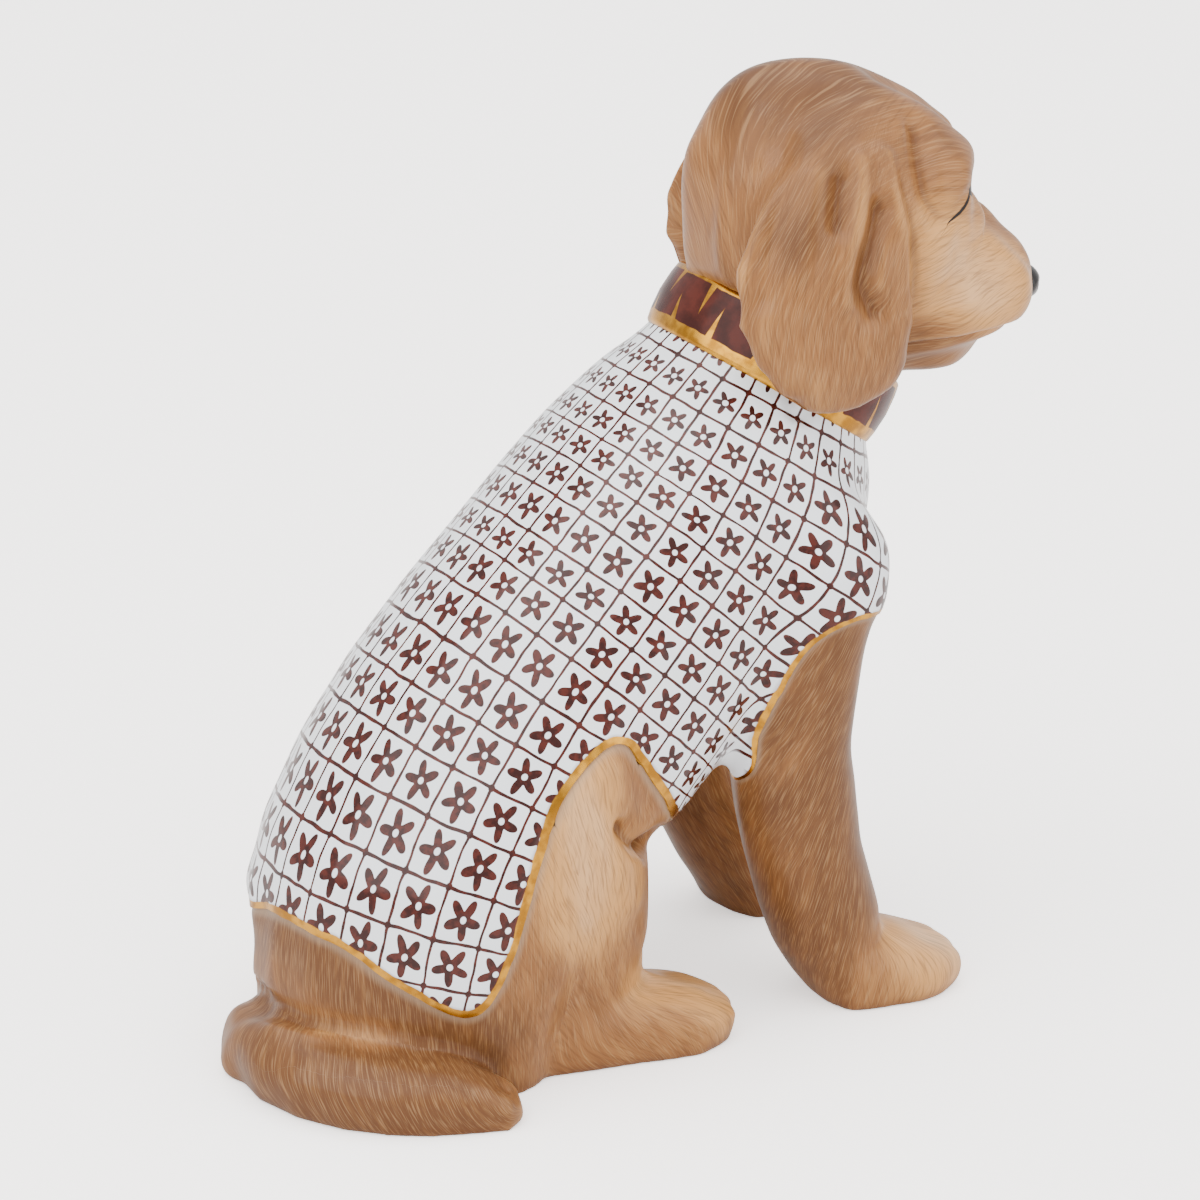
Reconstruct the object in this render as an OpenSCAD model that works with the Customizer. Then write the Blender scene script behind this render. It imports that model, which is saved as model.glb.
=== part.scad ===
// Porcelain figurine of a sitting puppy in a sleeveless coat.
// The puppy faces -Y and sits on the plane Z = 0, with the origin under its rump.
// It is slip cast in separate pieces, which are luted together before firing.

/* [Torso] */
// Half width of the chest
chest_r = 19.5; // [17:0.1:22]
// Half width of the waist
waist_r = 20.5; // [18:0.1:23]
// Half width of the rump
rump_r = 22; // [20:0.1:25]
// Radius of the neck
neck_r = 13.2; // [12:0.1:14.5]
// How far the neck is ahead of the rump
neck_forward = 41; // [38:0.5:44]
// Height of the middle of the neck at the collar's lower edge
neck_height = 69.5; // [66:0.5:73]
// Lean of the neck from upright, in degrees
neck_lean = 35; // [30:1:40]

/* [Coat] */
// How far the coat stands proud of the fur
coat_relief = 0.6; // [0.2:0.1:1]
// Height of the hem at the back
hem_back_height = 19.5; // [17:0.5:22]
// Height of the hem's low point beside the rump
hem_tip_height = 11.5; // [9:0.5:14]
// Height of the hem's arch over the hind leg
hem_arch_height = 40; // [37:0.5:43]
// Height of the sleeve's edge at its top over the shoulder
sleeve_height = 49.5; // [46.5:0.5:52]

/* [Collar] */
// Width of the collar along the neck
collar_width = 7.5; // [6:0.5:9]
// How far the collar stands proud of the neck
collar_relief = 1; // [0.5:0.1:1.6]
// Bevel along both edges of the collar
collar_bevel = 0.3; // [0.1:0.1:0.4]

/* [Head] */
// Turn of the head to the puppy's right, in degrees
head_turn = 18; // [0:1:22]
// Half width of the skull
skull_r = 15.5; // [14:0.1:17]
// Height of the crown above the middle of the neck
crown_height = 36; // [33.5:0.5:38.5]
// Half width of the muzzle
muzzle_r = 11.5; // [10:0.1:13]
// Half width of the nose
nose_r = 2.6; // [2:0.1:3.2]

/* [Ears] */
// Half width of an ear
ear_half_width = 10; // [8:0.1:12]
// Half thickness of an ear
ear_half_thickness = 2.8; // [2.2:0.1:3.4]

/* [Legs] */
// Distance between the middles of the two forelegs
stance = 26; // [23:0.5:29]
// How far the forelegs stand to the puppy's right of its middle
stance_shift = 1.7; // [0:0.1:3]
// How far the left forepaw is ahead of the right one
stride = 3.5; // [0:0.5:5]
// Radius of a foreleg
foreleg_r = 7; // [6:0.1:8]
// Half width of a forepaw
paw_r = 7.8; // [7:0.1:9]
// Half width of a thigh
thigh_r = 8.7; // [7.5:0.1:9.5]
// Half width of a hind foot
foot_r = 6.3; // [5.5:0.1:7]

/* [Tail] */
// Half width of the tail at its thickest
tail_r = 8; // [6.5:0.1:9]

/* [Casting] */
// Wall of the hollow torso, rump and head
wall = 3; // [2:0.1:3.5]
// Radius of the vent hole under the rump
vent_r = 2; // [1.5:0.1:3]
// Film of slip between the neck and the collar
slip_film = 0.1; // [0.05:0.05:0.2]

/* [Hidden] */
LEFT = 1;
RIGHT = -1;
body_sides = 20;
limb_sides = 16;
nose_sides = 12;
ring_steps = 2;
hem_steps = 4;
reach = 150;
vent_back = 8;

// Smooth lofts

// A station of a loft: its place, then its half width, half height above and half height below its centre
function station(side, forward, height, half_width, above, below) =
    [side, -forward, height, half_width, above, below];

// Point on a smooth curve from p1 to p2, with p0 and p3 as their neighbours
function curve(p0, p1, p2, p3, t) =
    0.5 * (2 * p1 + (p2 - p0) * t + (2 * p0 - 5 * p1 + 4 * p2 - p3) * t * t + (3 * p1 - p0 - 3 * p2 + p3) * t * t * t);

// Smooth run through the points or stations of a list, with so many steps from each one to the next
function smooth(list, steps) = let (last = len(list) - 1)
    [for (i = [0 : last - 1], j = [0 : steps - 1])
        curve(list[max(i - 1, 0)], list[i], list[i + 1], list[min(i + 2, last)], j / steps), list[last]];

function place(s) = [s[0], s[1], s[2]];
function unit(v) = v / norm(v);

// Ring of points round one station, square to the centre line
function ring(s, along, up, sides) = let (v = unit(up - (up * along) * along), u = cross(v, along))
    [for (k = [0 : sides - 1]) let (a = 360 * k / sides, h = sin(a) > 0 ? s[4] : s[5])
        place(s) + u * s[3] * cos(a) + v * h * sin(a)];

// Solid lofted through stations, with up towards their upper side, and grown all round
module loft(stations, up, grow = 0, sides = limb_sides) {
    s = [for (q = smooth(stations, ring_steps)) q + [0, 0, 0, grow, grow, grow]];
    last = len(s) - 1;
    rings = [for (i = [0 : last])
        ring(s[i], unit(place(s[min(i + 1, last)]) - place(s[max(i - 1, 0)])), up, sides)];
    walls = [for (i = [0 : last - 1], k = [0 : sides - 1]) let (a = i * sides, b = a + sides, m = (k + 1) % sides)
        each [[a + k, b + k, b + m], [a + k, b + m, a + m]]];
    first_end = [for (k = [0 : sides - 1]) k];
    last_end = [for (k = [0 : sides - 1]) last * sides + sides - 1 - k];
    polyhedron([for (r = rings) each r], concat(walls, [first_end, last_end]), convexity = 6);
}

// Frames and cuts

module above_floor() {
    difference() {
        children();
        translate([-reach, -reach, -reach]) cube([2 * reach, 2 * reach, reach]);
    }
}

// Solid as wide as the puppy, from an outline of forward and height
module side_prism(outline) {
    rotate([90, 0, -90]) translate([0, 0, -reach / 2]) linear_extrude(reach) polygon(outline);
}

module at_neck() {
    translate([0, -neck_forward, neck_height]) rotate([neck_lean, 0, 0]) children();
}

module at_head() {
    translate([0, -neck_forward, neck_height]) rotate([0, 0, -head_turn]) children();
}

// Space taken by the collar and all that is below it in line with the neck
module collar_space() {
    at_neck() translate([0, 0, -reach]) cylinder(r = neck_r + collar_relief, h = reach + collar_width);
}

// The coat's lower edge, from the back to the belly, and its edge round the shoulders
hem_points = [
    [-40, hem_back_height],
    [-21, hem_back_height],
    [-15, (hem_back_height + hem_tip_height) / 2],
    [-8.5, hem_tip_height],
    [-5, hem_tip_height + 3.5],
    [-1.5, (hem_tip_height + hem_arch_height) / 2 - 1],
    [3, hem_arch_height - 5.5],
    [9.8, hem_arch_height],
    [14, hem_arch_height - 4.5],
    [19, hem_arch_height - 12],
    [25, hem_arch_height - 22],
    [34, hem_arch_height - 28]
];
sleeve_points = [
    [22, sleeve_height - 29],
    [28.5, sleeve_height - 19.5],
    [29.5, sleeve_height - 14],
    [31, sleeve_height - 8.5],
    [34, sleeve_height - 2.5],
    [38.5, sleeve_height - 0.3],
    [43, sleeve_height - 0.9],
    [48, sleeve_height - 2.4],
    [60, sleeve_height - 3]
];
function above(points) = concat(
    smooth(points, hem_steps), [[reach, points[len(points) - 1][1]], [reach, reach], [-reach, reach], [-reach, points[0][1]]]);

// Forms that the pieces are cut from

torso_stations = [
    station(0, -1, -6, rump_r - 4, 20, 9),
    station(0, -1, 5, rump_r - 2, 21.5, 10),
    station(0, 2, 18, rump_r, 22.5, 12),
    station(0, 10, 32, (rump_r + waist_r) / 2, 21, 15.5),
    station(0, 21, 45, waist_r, 19, 19),
    station(0, 31.5, 56.5, chest_r, 17.5, 20.8),
    station(0, neck_forward - 2.5, neck_height - 4, neck_r + 2.5, neck_r + 1.8, neck_r + 3.4),
    station(0, neck_forward, neck_height, neck_r, neck_r, neck_r),
    station(0, neck_forward + 7, neck_height + 10, neck_r - 1, neck_r - 1, neck_r - 1)
];

module torso_form(grow = 0) {
    loft(torso_stations, [0, 0.8, 0.6], grow, body_sides);
}

// The hollow inside the torso and rump, which runs up through the neck
module torso_hollow() {
    difference() {
        torso_form(-wall);
        translate([-reach, -reach, -reach]) cube([2 * reach, 2 * reach, reach + wall]);
    }
}

skull_stations = [
    station(0, -7.5, 19.5, 3, 3, 4),
    station(0, -6.5, 19.5, 7.5, 7, 8),
    station(0, -3.5, 19.5, skull_r - 4, 11, 11),
    station(0, 1, 20, skull_r - 1.5, crown_height - 21.5, 14.5),
    station(0, 7, 20, skull_r, crown_height - 20, 17),
    station(0, 13, 19.5, skull_r - 0.5, crown_height - 21, 17.5),
    station(0, 18, 19.5, skull_r - 2, crown_height - 23.3, 15.2),
    station(0, 21, 19.5, skull_r - 4, crown_height - 26, 6),
    station(0, 22.9, 19.5, skull_r - 8.5, crown_height - 29.5, 1.5)
];
muzzle_stations = [
    station(0, 10, 8.5, muzzle_r, 8, 7.3),
    station(0, 18, 8.8, muzzle_r + 0.5, 10.2, 6.3),
    station(0, 23, 9, muzzle_r - 1, 9.8, 5),
    station(0, 26.7, 9, muzzle_r - 2.7, 7.7, 4),
    station(0, 29.4, 9.2, muzzle_r - 4.7, 4.8, 2.3),
    station(0, 30.7, 9.2, muzzle_r - 8, 2.4, 1.2)
];
jaw_stations = [
    station(0, 8, 4.5, muzzle_r - 2.5, 4, 3),
    station(0, 18, 3.5, muzzle_r - 3, 4, 2.4),
    station(0, 22, 3.3, muzzle_r - 5, 3, 2),
    station(0, 24.6, 3.1, muzzle_r - 8.5, 1.5, 1.2)
];
nose_stations = [
    station(0, 28.6, 9.7, nose_r - 0.6, 1.2, 1.2),
    station(0, 30.3, 9.7, nose_r, 1.8, 1.7),
    station(0, 31.6, 9.4, nose_r - 0.4, 1.4, 1.4),
    station(0, 32.2, 9.2, nose_r - 1.6, 0.6, 0.6)
];

module muzzle_form() {
    loft(muzzle_stations, [0, 0, 1]);
}

module skull_form() {
    loft(skull_stations, [0, 0, 1], sides = body_sides);
}

// The hollow of the head, which is open to the neck
module skull_hollow() {
    loft([for (i = [2 : 6]) skull_stations[i]], [0, 0, 1], -wall, body_sides);
}

// The neck above the collar's lower edge
module neck_form() {
    at_neck() cylinder(r1 = neck_r, r2 = neck_r - 2, h = collar_width + 10);
}

// The head on its neck, before the ears
module head_form() {
    at_head() {
        skull_form();
        muzzle_form();
        loft(jaw_stations, [0, 0, 1]);
    }
    neck_form();
}

function ear_stations(hand) = [
    station(hand * (skull_r - 6.5), 5.5, 31, ear_half_width - 6, 2, 2),
    station(hand * (skull_r - 3), 5.3, 27.5, ear_half_width - 3.5, ear_half_thickness, ear_half_thickness),
    station(hand * (skull_r - 0.5), 3.6, 20.5, ear_half_width - 1, ear_half_thickness, ear_half_thickness),
    station(hand * (skull_r + 0.5), 2.8, 13.5, ear_half_width, ear_half_thickness, ear_half_thickness),
    station(hand * (skull_r + 0.5), 5.2, 6.5, ear_half_width - 0.9, ear_half_thickness, ear_half_thickness),
    station(hand * (skull_r - 0.3), 6.7, 2, ear_half_width - 4.8, 1.5, 1.5)
];

module ear_form(hand) {
    at_head() loft(ear_stations(hand), [hand, 0, 0.2]);
}

function foreleg_side(hand) = hand * stance / 2 - stance_shift;
function foreleg_step(hand) = hand == LEFT ? stride : 0;
function foreleg_stations(hand) = let (x = foreleg_side(hand), step = foreleg_step(hand)) [
    station(x - hand * 3, 36, 62, foreleg_r - 1.5, 5, 5),
    station(x - hand * 0.5, 38.5, 53, foreleg_r + 1.5, 8.8, 9),
    station(x, 38.5 + step / 6, 43, foreleg_r + 1, 6.7, 9.8),
    station(x, 37.5 + step / 3, 31, foreleg_r, 6.4, 8.6),
    station(x, 38.5 + step * 2 / 3, 19, foreleg_r - 0.2, 6.2, 7),
    station(x, 41.2 + step, 9, foreleg_r, 6.4, 6.2),
    station(x, 43 + step, 3, foreleg_r - 1, 4, 4.5)
];
function paw_stations(hand) = let (x = foreleg_side(hand), step = foreleg_step(hand)) [
    station(x, 38.5 + step, 3, 3, 3, 5),
    station(x + hand * 0.2, 41 + step, 4, paw_r - 1.2, 5, 8.5),
    station(x + hand * 0.6, 47 + step, 4, paw_r, 4.4, 9),
    station(x + hand * 0.9, 52.8 + step, 3.5, paw_r - 0.5, 3.2, 8.5),
    station(x + hand * 1, 57 + step, 2.5, 4, 1.6, 6)
];

module shoulder_form(hand, grow = 0) {
    loft(foreleg_stations(hand), [0, -0.7, 0.7], grow);
}

module foreleg_form(hand) {
    shoulder_form(hand);
    loft(paw_stations(hand), [0, 0, 1]);
}

function hind_leg_stations(hand) = [
    station(hand * (rump_r - 10), 7, 48, thigh_r - 4, 3, 5),
    station(hand * (rump_r - 8.3), 8, 39, thigh_r - 0.3, 6.8, 8),
    station(hand * (rump_r - 8), 8.7, 28, thigh_r, 7.8, 10),
    station(hand * (rump_r - 9), 9.5, 16, thigh_r - 1, 8.1, 12),
    station(hand * (rump_r - 10.5), 9.2, 7, thigh_r - 1.7, 8.3, 12),
    station(hand * (rump_r - 11), 8, -3, thigh_r - 2.5, 8.7, 11)
];
function foot_stations(hand) = [
    station(hand * (rump_r - 12), -2, 3.5, foot_r - 1.3, 4, 8),
    station(hand * (rump_r - 9.8), 4, 4.5, foot_r - 0.3, 5.5, 9),
    station(hand * (rump_r - 7.8), 15, 4.5, foot_r + 0.2, 3.9, 9),
    station(hand * (rump_r - 6.2), 22.5, 3.8, foot_r, 2.8, 9),
    station(hand * (rump_r - 5.6), 26.8, 2.6, foot_r - 2.8, 1.5, 6)
];

module hind_leg_form(hand) {
    loft(hind_leg_stations(hand), [0, -1, 0]);
    loft(foot_stations(hand), [0, 0, 1]);
}

tail_stations = [
    station(9, -11, 4.5, 5, 4.2, 6),
    station(3, -17.5, 4.2, tail_r - 0.6, 4.8, 8),
    station(-5, -19.5, 4, tail_r + 0.3, 4.6, 8),
    station(-13, -16.5, 4, tail_r, 4.2, 8),
    station(-19.5, -11, 3.6, tail_r - 2, 3.3, 8),
    station(-24.8, -5.2, 2.5, 2.5, 1.8, 5)
];

module tail_form() {
    loft(tail_stations, [0, 0, 1]);
}

// Pieces

module torso() {
    color("white") difference() {
        union() {
            difference() {
                union() {
                    intersection() {
                        torso_form(coat_relief);
                        side_prism(above(hem_points));
                    }
                    for (hand = [LEFT, RIGHT]) intersection() {
                        shoulder_form(hand, coat_relief);
                        side_prism(above(sleeve_points));
                    }
                }
                at_neck() translate([-reach, -reach, 0]) cube(2 * reach);
            }
            at_neck() translate([0, 0, -wall]) cylinder(r = neck_r - slip_film, h = wall + collar_width);
        }
        torso_hollow();
    }
}

module rump() {
    color("burlywood") difference() {
        above_floor() torso_form();
        side_prism(above(hem_points));
        torso_hollow();
        translate([0, vent_back, -1]) cylinder(r = vent_r, h = wall + 2);
    }
}

module collar() {
    outer = neck_r + collar_relief;
    color("saddlebrown") at_neck() rotate_extrude() polygon([
        [neck_r, 0], [outer - collar_bevel, 0], [outer, collar_bevel],
        [outer, collar_width - collar_bevel], [outer - collar_bevel, collar_width], [neck_r, collar_width]
    ]);
}

module head() {
    color("burlywood") difference() {
        head_form();
        collar_space();
        torso_hollow();
        at_head() skull_hollow();
    }
}

module nose() {
    color("black") at_head() difference() {
        loft(nose_stations, [0, 0, 1], sides = nose_sides);
        muzzle_form();
    }
}

module ear(hand) {
    color("burlywood") difference() {
        ear_form(hand);
        at_head() skull_form();
        neck_form();
        collar_space();
    }
}

module foreleg(hand) {
    color("burlywood") difference() {
        above_floor() foreleg_form(hand);
        side_prism(above(sleeve_points));
        torso_form(coat_relief);
    }
}

module hind_leg(hand) {
    color("burlywood") difference() {
        above_floor() hind_leg_form(hand);
        side_prism(above(hem_points));
        torso_form();
    }
}

module tail() {
    color("burlywood") difference() {
        above_floor() tail_form();
        torso_form();
    }
}

torso();
rump();
collar();
head();
nose();
ear(LEFT);  // ear_left
ear(RIGHT);  // ear_right
foreleg(LEFT);  // foreleg_left
foreleg(RIGHT);  // foreleg_right
hind_leg(LEFT);  // hind_leg_left
hind_leg(RIGHT);  // hind_leg_right
tail();
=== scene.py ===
"""Looks of a porcelain puppy: its castings fused in one clay skin, modelled, parted, glazed and painted."""

import logging
import math
from collections.abc import Iterable, Sequence
from dataclasses import dataclass, field
from enum import Enum

import bmesh
import bpy
import numpy as np
from mathutils import Matrix, Vector
from mathutils.bvhtree import BVHTree


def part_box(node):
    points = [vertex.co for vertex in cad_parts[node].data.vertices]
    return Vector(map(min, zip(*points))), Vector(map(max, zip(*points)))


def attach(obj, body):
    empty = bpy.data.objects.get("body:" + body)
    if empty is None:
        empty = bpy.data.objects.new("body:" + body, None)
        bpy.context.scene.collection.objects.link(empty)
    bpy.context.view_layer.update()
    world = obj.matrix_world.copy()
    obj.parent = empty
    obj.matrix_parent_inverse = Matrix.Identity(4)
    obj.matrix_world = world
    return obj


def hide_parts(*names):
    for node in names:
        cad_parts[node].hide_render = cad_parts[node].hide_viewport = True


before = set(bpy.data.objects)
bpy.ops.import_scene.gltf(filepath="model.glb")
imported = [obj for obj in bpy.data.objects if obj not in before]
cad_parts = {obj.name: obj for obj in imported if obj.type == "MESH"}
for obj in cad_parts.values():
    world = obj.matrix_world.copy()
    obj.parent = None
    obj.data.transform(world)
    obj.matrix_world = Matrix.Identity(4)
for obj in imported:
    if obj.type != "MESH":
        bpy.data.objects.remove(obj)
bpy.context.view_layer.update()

MM = 0.001
LOG = logging.getLogger("puppy")

Point = tuple[float, float, float]
Colour = tuple[int, int, int]


class Part(Enum):
    """The pieces that are parted from the clay, each named as its casting."""

    COAT = "torso"
    RUMP = "rump"
    HEAD = "head"
    EAR_LEFT = "ear_left"
    EAR_RIGHT = "ear_right"
    FORELEG_LEFT = "foreleg_left"
    FORELEG_RIGHT = "foreleg_right"
    HIND_LEG_LEFT = "hind_leg_left"
    HIND_LEG_RIGHT = "hind_leg_right"
    TAIL = "tail"


LIMBS = (Part.RUMP, Part.FORELEG_LEFT, Part.FORELEG_RIGHT, Part.HIND_LEG_LEFT, Part.HIND_LEG_RIGHT)
EARS = (Part.EAR_LEFT, Part.EAR_RIGHT)


# Places and lines


@dataclass(frozen=True)
class Seat:
    """A place on the puppy with side, forward and height of its own, in mm."""

    ahead: float = 0.0
    turn: float = 0.0

    def world(self, points: Sequence[Point]) -> np.ndarray:
        """Give the frame's coordinates of points in this seat.

        Args:
            points: Side to the puppy's left, forward and height, in mm.

        Returns:
            The same points in the frame, in mm.
        """
        side, forward, height = np.atleast_2d(np.asarray(points, float)).T
        cos, sin = math.cos(math.radians(self.turn)), math.sin(math.radians(self.turn))
        return np.stack([side * cos - forward * sin, -side * sin - forward * cos - self.ahead, height], 1)

    def local(self, points: np.ndarray) -> np.ndarray:
        """Give side, forward and height of points in the frame.

        Args:
            points: Coordinates in the frame, in mm.

        Returns:
            The same points in this seat, in mm.
        """
        x, y, height = points.T
        y = y + self.ahead
        cos, sin = math.cos(math.radians(self.turn)), math.sin(math.radians(self.turn))
        return np.stack([x * cos - y * sin, -x * sin - y * cos, height], 1)


BODY = Seat()
HEAD = Seat(ahead=41, turn=18)


def smooth_run(points: Sequence[Point] | np.ndarray, steps: int) -> np.ndarray:
    """Run a smooth curve through points.

    Args:
        points: The points that the curve goes through.
        steps: How many steps it takes from each point to the next.

    Returns:
        The points along the curve.
    """
    p = np.asarray(points, float)
    p = np.concatenate([[2 * p[0] - p[1]], p, [2 * p[-1] - p[-2]]])
    t = (np.arange(steps) / steps)[:, None]
    run = []
    for a, b, c, d in zip(p, p[1:], p[2:], p[3:]):
        square = 2 * a - 5 * b + 4 * c - d
        cube = 3 * b - a - 3 * c + d
        run.append(0.5 * (2 * b + (c - a) * t + square * t**2 + cube * t**3))
    return np.concatenate([*run, [p[-2]]])


def distance_to_run(points: np.ndarray, run: np.ndarray) -> np.ndarray:
    """Measure how far points are from a curve.

    Args:
        points: The points to measure from.
        run: Points along the curve.

    Returns:
        One distance for each point.
    """
    best = np.full(len(points), np.inf)
    for a, b in zip(run, run[1:]):
        leg = b - a
        t = np.clip((points - a) @ leg / max(leg @ leg, 1e-9), 0, 1)
        best = np.minimum(best, np.linalg.norm(points - a - t[:, None] * leg, axis=1))
    return best


@dataclass(frozen=True)
class Grain:
    """The way the brush runs over a piece: along a line, with one side of it up.

    A wrapped grain goes round its line at a given radius, and a slant turns the brush from the line. With a
    fold, both sides of the line are alike, and the strokes are steeper up to so far from it.
    """

    seat: Seat
    line: Sequence[Point]
    up: Point = (0, 0, 1)
    wrap: float = 0.0
    slant: float = 0.0
    fold: float = 0.0
    steep: float = 0.65

    def wrapped(self, points: np.ndarray) -> np.ndarray:
        """Give how far points are along the brush's strokes and across them.

        Args:
            points: Coordinates in the frame, in mm.

        Returns:
            Along, across and nought for each point, in mm.
        """
        along, beside, above = self.lay(points).T
        across = np.arctan2(beside, above) * self.wrap
        if self.fold:
            across = np.abs(across)
            top = np.minimum(across, self.fold)
            across += self.steep * (top**2 / (2 * self.fold) - top)
        cos, sin = math.cos(math.radians(self.slant)), math.sin(math.radians(self.slant))
        return np.stack([along * cos + across * sin, across * cos - along * sin, np.zeros(len(points))], 1)

    def lay(self, points: np.ndarray) -> np.ndarray:
        """Give how far points are along the line, beside it and above it.

        Args:
            points: Coordinates in the frame, in mm.

        Returns:
            Along, beside and above for each point, in mm.
        """
        run = smooth_run(self.seat.world(self.line), 12)
        along = np.gradient(run, axis=0)
        along /= np.linalg.norm(along, axis=1)[:, None]
        gone = np.concatenate([[0], np.cumsum(np.linalg.norm(np.diff(run, axis=0), axis=1))])
        up = self.seat.world([self.up])[0] - self.seat.world([(0, 0, 0)])[0]
        above = up - (along @ up)[:, None] * along
        above /= np.linalg.norm(above, axis=1)[:, None]
        beside = np.cross(above, along)
        near = np.full(len(points), np.inf)
        pick = np.zeros(len(points), int)
        for i, place in enumerate(run):
            far = ((points - place) ** 2).sum(1)
            closer = far < near
            near[closer] = far[closer]
            pick[closer] = i
        past = ((points - run[pick]) * along[pick]).sum(1)
        last = len(run) - 2
        low = np.clip(pick - (past < 0), 0, last)
        before = ((points - run[low]) * along[low]).sum(1)
        after = ((run[low + 1] - points) * along[low + 1]).sum(1)
        share = before / np.maximum(before + after, 1e-6)
        share = np.clip(share, np.where(low == 0, -np.inf, 0), np.where(low == last, np.inf, 1))[:, None]
        inner = np.clip(share, 0, 1)
        gap = points - run[low] - share * (run[low + 1] - run[low])
        sides = [(gap * (way[low] + inner * (way[low + 1] - way[low]))).sum(1) for way in (beside, above)]
        return np.stack([gone[low] + share[:, 0] * (gone[low + 1] - gone[low]), *sides], 1)


def mirrored(points: Sequence[Point]) -> list[Point]:
    """Give points of the puppy's right side on its left, or the other way round."""
    return [(-side, forward, height) for side, forward, height in points]


@dataclass(frozen=True)
class Stroke:
    """One stroke of a modelling tool: a line, how wide it is and how far it builds up or cuts in."""

    seat: Seat
    line: Sequence[Point]
    width: float
    rise: float
    parts: tuple[Part, ...] = ()

    def both(self) -> tuple["Stroke", "Stroke"]:
        """Give this stroke and its mirror image on the puppy's other side."""
        return self, Stroke(self.seat, mirrored(self.line), self.width, self.rise, self.parts)


def on_both_sides(strokes: Iterable[Stroke]) -> list[Stroke]:
    """Give strokes together with their mirror images on the puppy's other side."""
    return [hand for stroke in strokes for hand in stroke.both()]


# Pieces


def add_piece(name: str, bm: bmesh.types.BMesh) -> bpy.types.Object:
    """Make a smooth object of a bmesh, which is freed.

    Args:
        name: The object's name.
        bm: Its mesh, in metres.

    Returns:
        The object.
    """
    mesh = bpy.data.meshes.new(name)
    bm.to_mesh(mesh)
    bm.free()
    mesh.shade_smooth()
    obj = bpy.data.objects.new(name, mesh)
    bpy.context.scene.collection.objects.link(obj)
    return obj


def add_map(mesh: bpy.types.Mesh, name: str, values: np.ndarray) -> None:
    """Give a mesh a map of numbers or of vectors at its points."""
    kind, key = ("FLOAT", "value") if values.ndim == 1 else ("FLOAT_VECTOR", "vector")
    mesh.attributes.new(name, kind, "POINT").data.foreach_set(key, values.astype(np.float32).ravel())


def points_of(obj: bpy.types.Object) -> np.ndarray:
    """Read a piece's points.

    Args:
        obj: The piece.

    Returns:
        Their coordinates, in mm.
    """
    points = np.empty(len(obj.data.vertices) * 3, np.float32)
    obj.data.vertices.foreach_get("co", points)
    return points.reshape(-1, 3).astype(float) / MM


@dataclass
class Collar:
    """The raised band round the neck."""

    ahead: float = 41.0
    height: float = 69.5
    lean: float = 35.0
    inner: float = 12.9
    outer: float = 14.1
    bulge: float = 0.35
    width: float = 7.5
    under: float = 0.3
    corner: float = 0.4
    corner_rise: float = 0.35
    brim: float = 0.05
    shoulder_rise: float = 1.6
    steps: int = 180

    def above(self, points: np.ndarray) -> np.ndarray:
        """Measure how far points are above the band's middle, in line with the neck.

        Args:
            points: Coordinates in the frame, in mm.

        Returns:
            One height for each point, in mm.
        """
        lean = math.radians(self.lean)
        axis = np.array([0, -math.sin(lean), math.cos(lean)])
        return (points - np.array([0, -self.ahead, self.height])) @ axis - self.width / 2

    def section(self) -> list[tuple[float, float]]:
        """Lay out the band's section.

        Returns:
            Radius and height of its points in mm, from the inner lower edge round to the upper one.
        """
        low, high = -self.under, self.width
        edge, brim = self.outer - self.corner, self.outer - self.brim
        crest, shoulder = self.outer + self.bulge, self.outer + self.bulge / 2
        half = [(self.inner, 0), (edge, 0), (brim, self.corner_rise), (shoulder, self.shoulder_rise)]
        lower = [(radius, low + rise) for radius, rise in half]
        upper = [(radius, high - rise) for radius, rise in reversed(half)]
        return [*lower, (crest, (low + high) / 2), *upper]

    def build(self) -> bpy.types.Object:
        """Spin the band's section round the neck.

        Returns:
            The band's object.
        """
        bm = bmesh.new()
        verts = [bm.verts.new((radius * MM, 0, height * MM)) for radius, height in self.section()]
        edges = [bm.edges.new((a, b)) for a, b in zip(verts, verts[1:] + verts[:1])]
        bmesh.ops.subdivide_edges(bm, edges=edges[1:7], cuts=3, smooth=0)
        bmesh.ops.spin(bm, geom=[*bm.verts, *bm.edges], cent=(0, 0, 0), axis=(0, 0, 1), angle=math.tau,
                       steps=self.steps, use_merge=True)
        bmesh.ops.remove_doubles(bm, verts=bm.verts, dist=1e-7)
        bmesh.ops.smooth_vert(bm, verts=bm.verts, factor=0.5,
                              use_axis_x=True, use_axis_y=True, use_axis_z=True)
        bmesh.ops.recalc_face_normals(bm, faces=bm.faces)
        obj = add_piece("collar_band", bm)
        across, ahead, rise = points_of(obj).T
        add_map(obj.data, "lay", np.stack([rise, across, ahead], 1))
        neck = Matrix.Translation(Vector((0, -self.ahead, self.height)) * MM)
        obj.data.transform(neck @ Matrix.Rotation(math.radians(self.lean), 4, "X"))
        return obj


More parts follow.
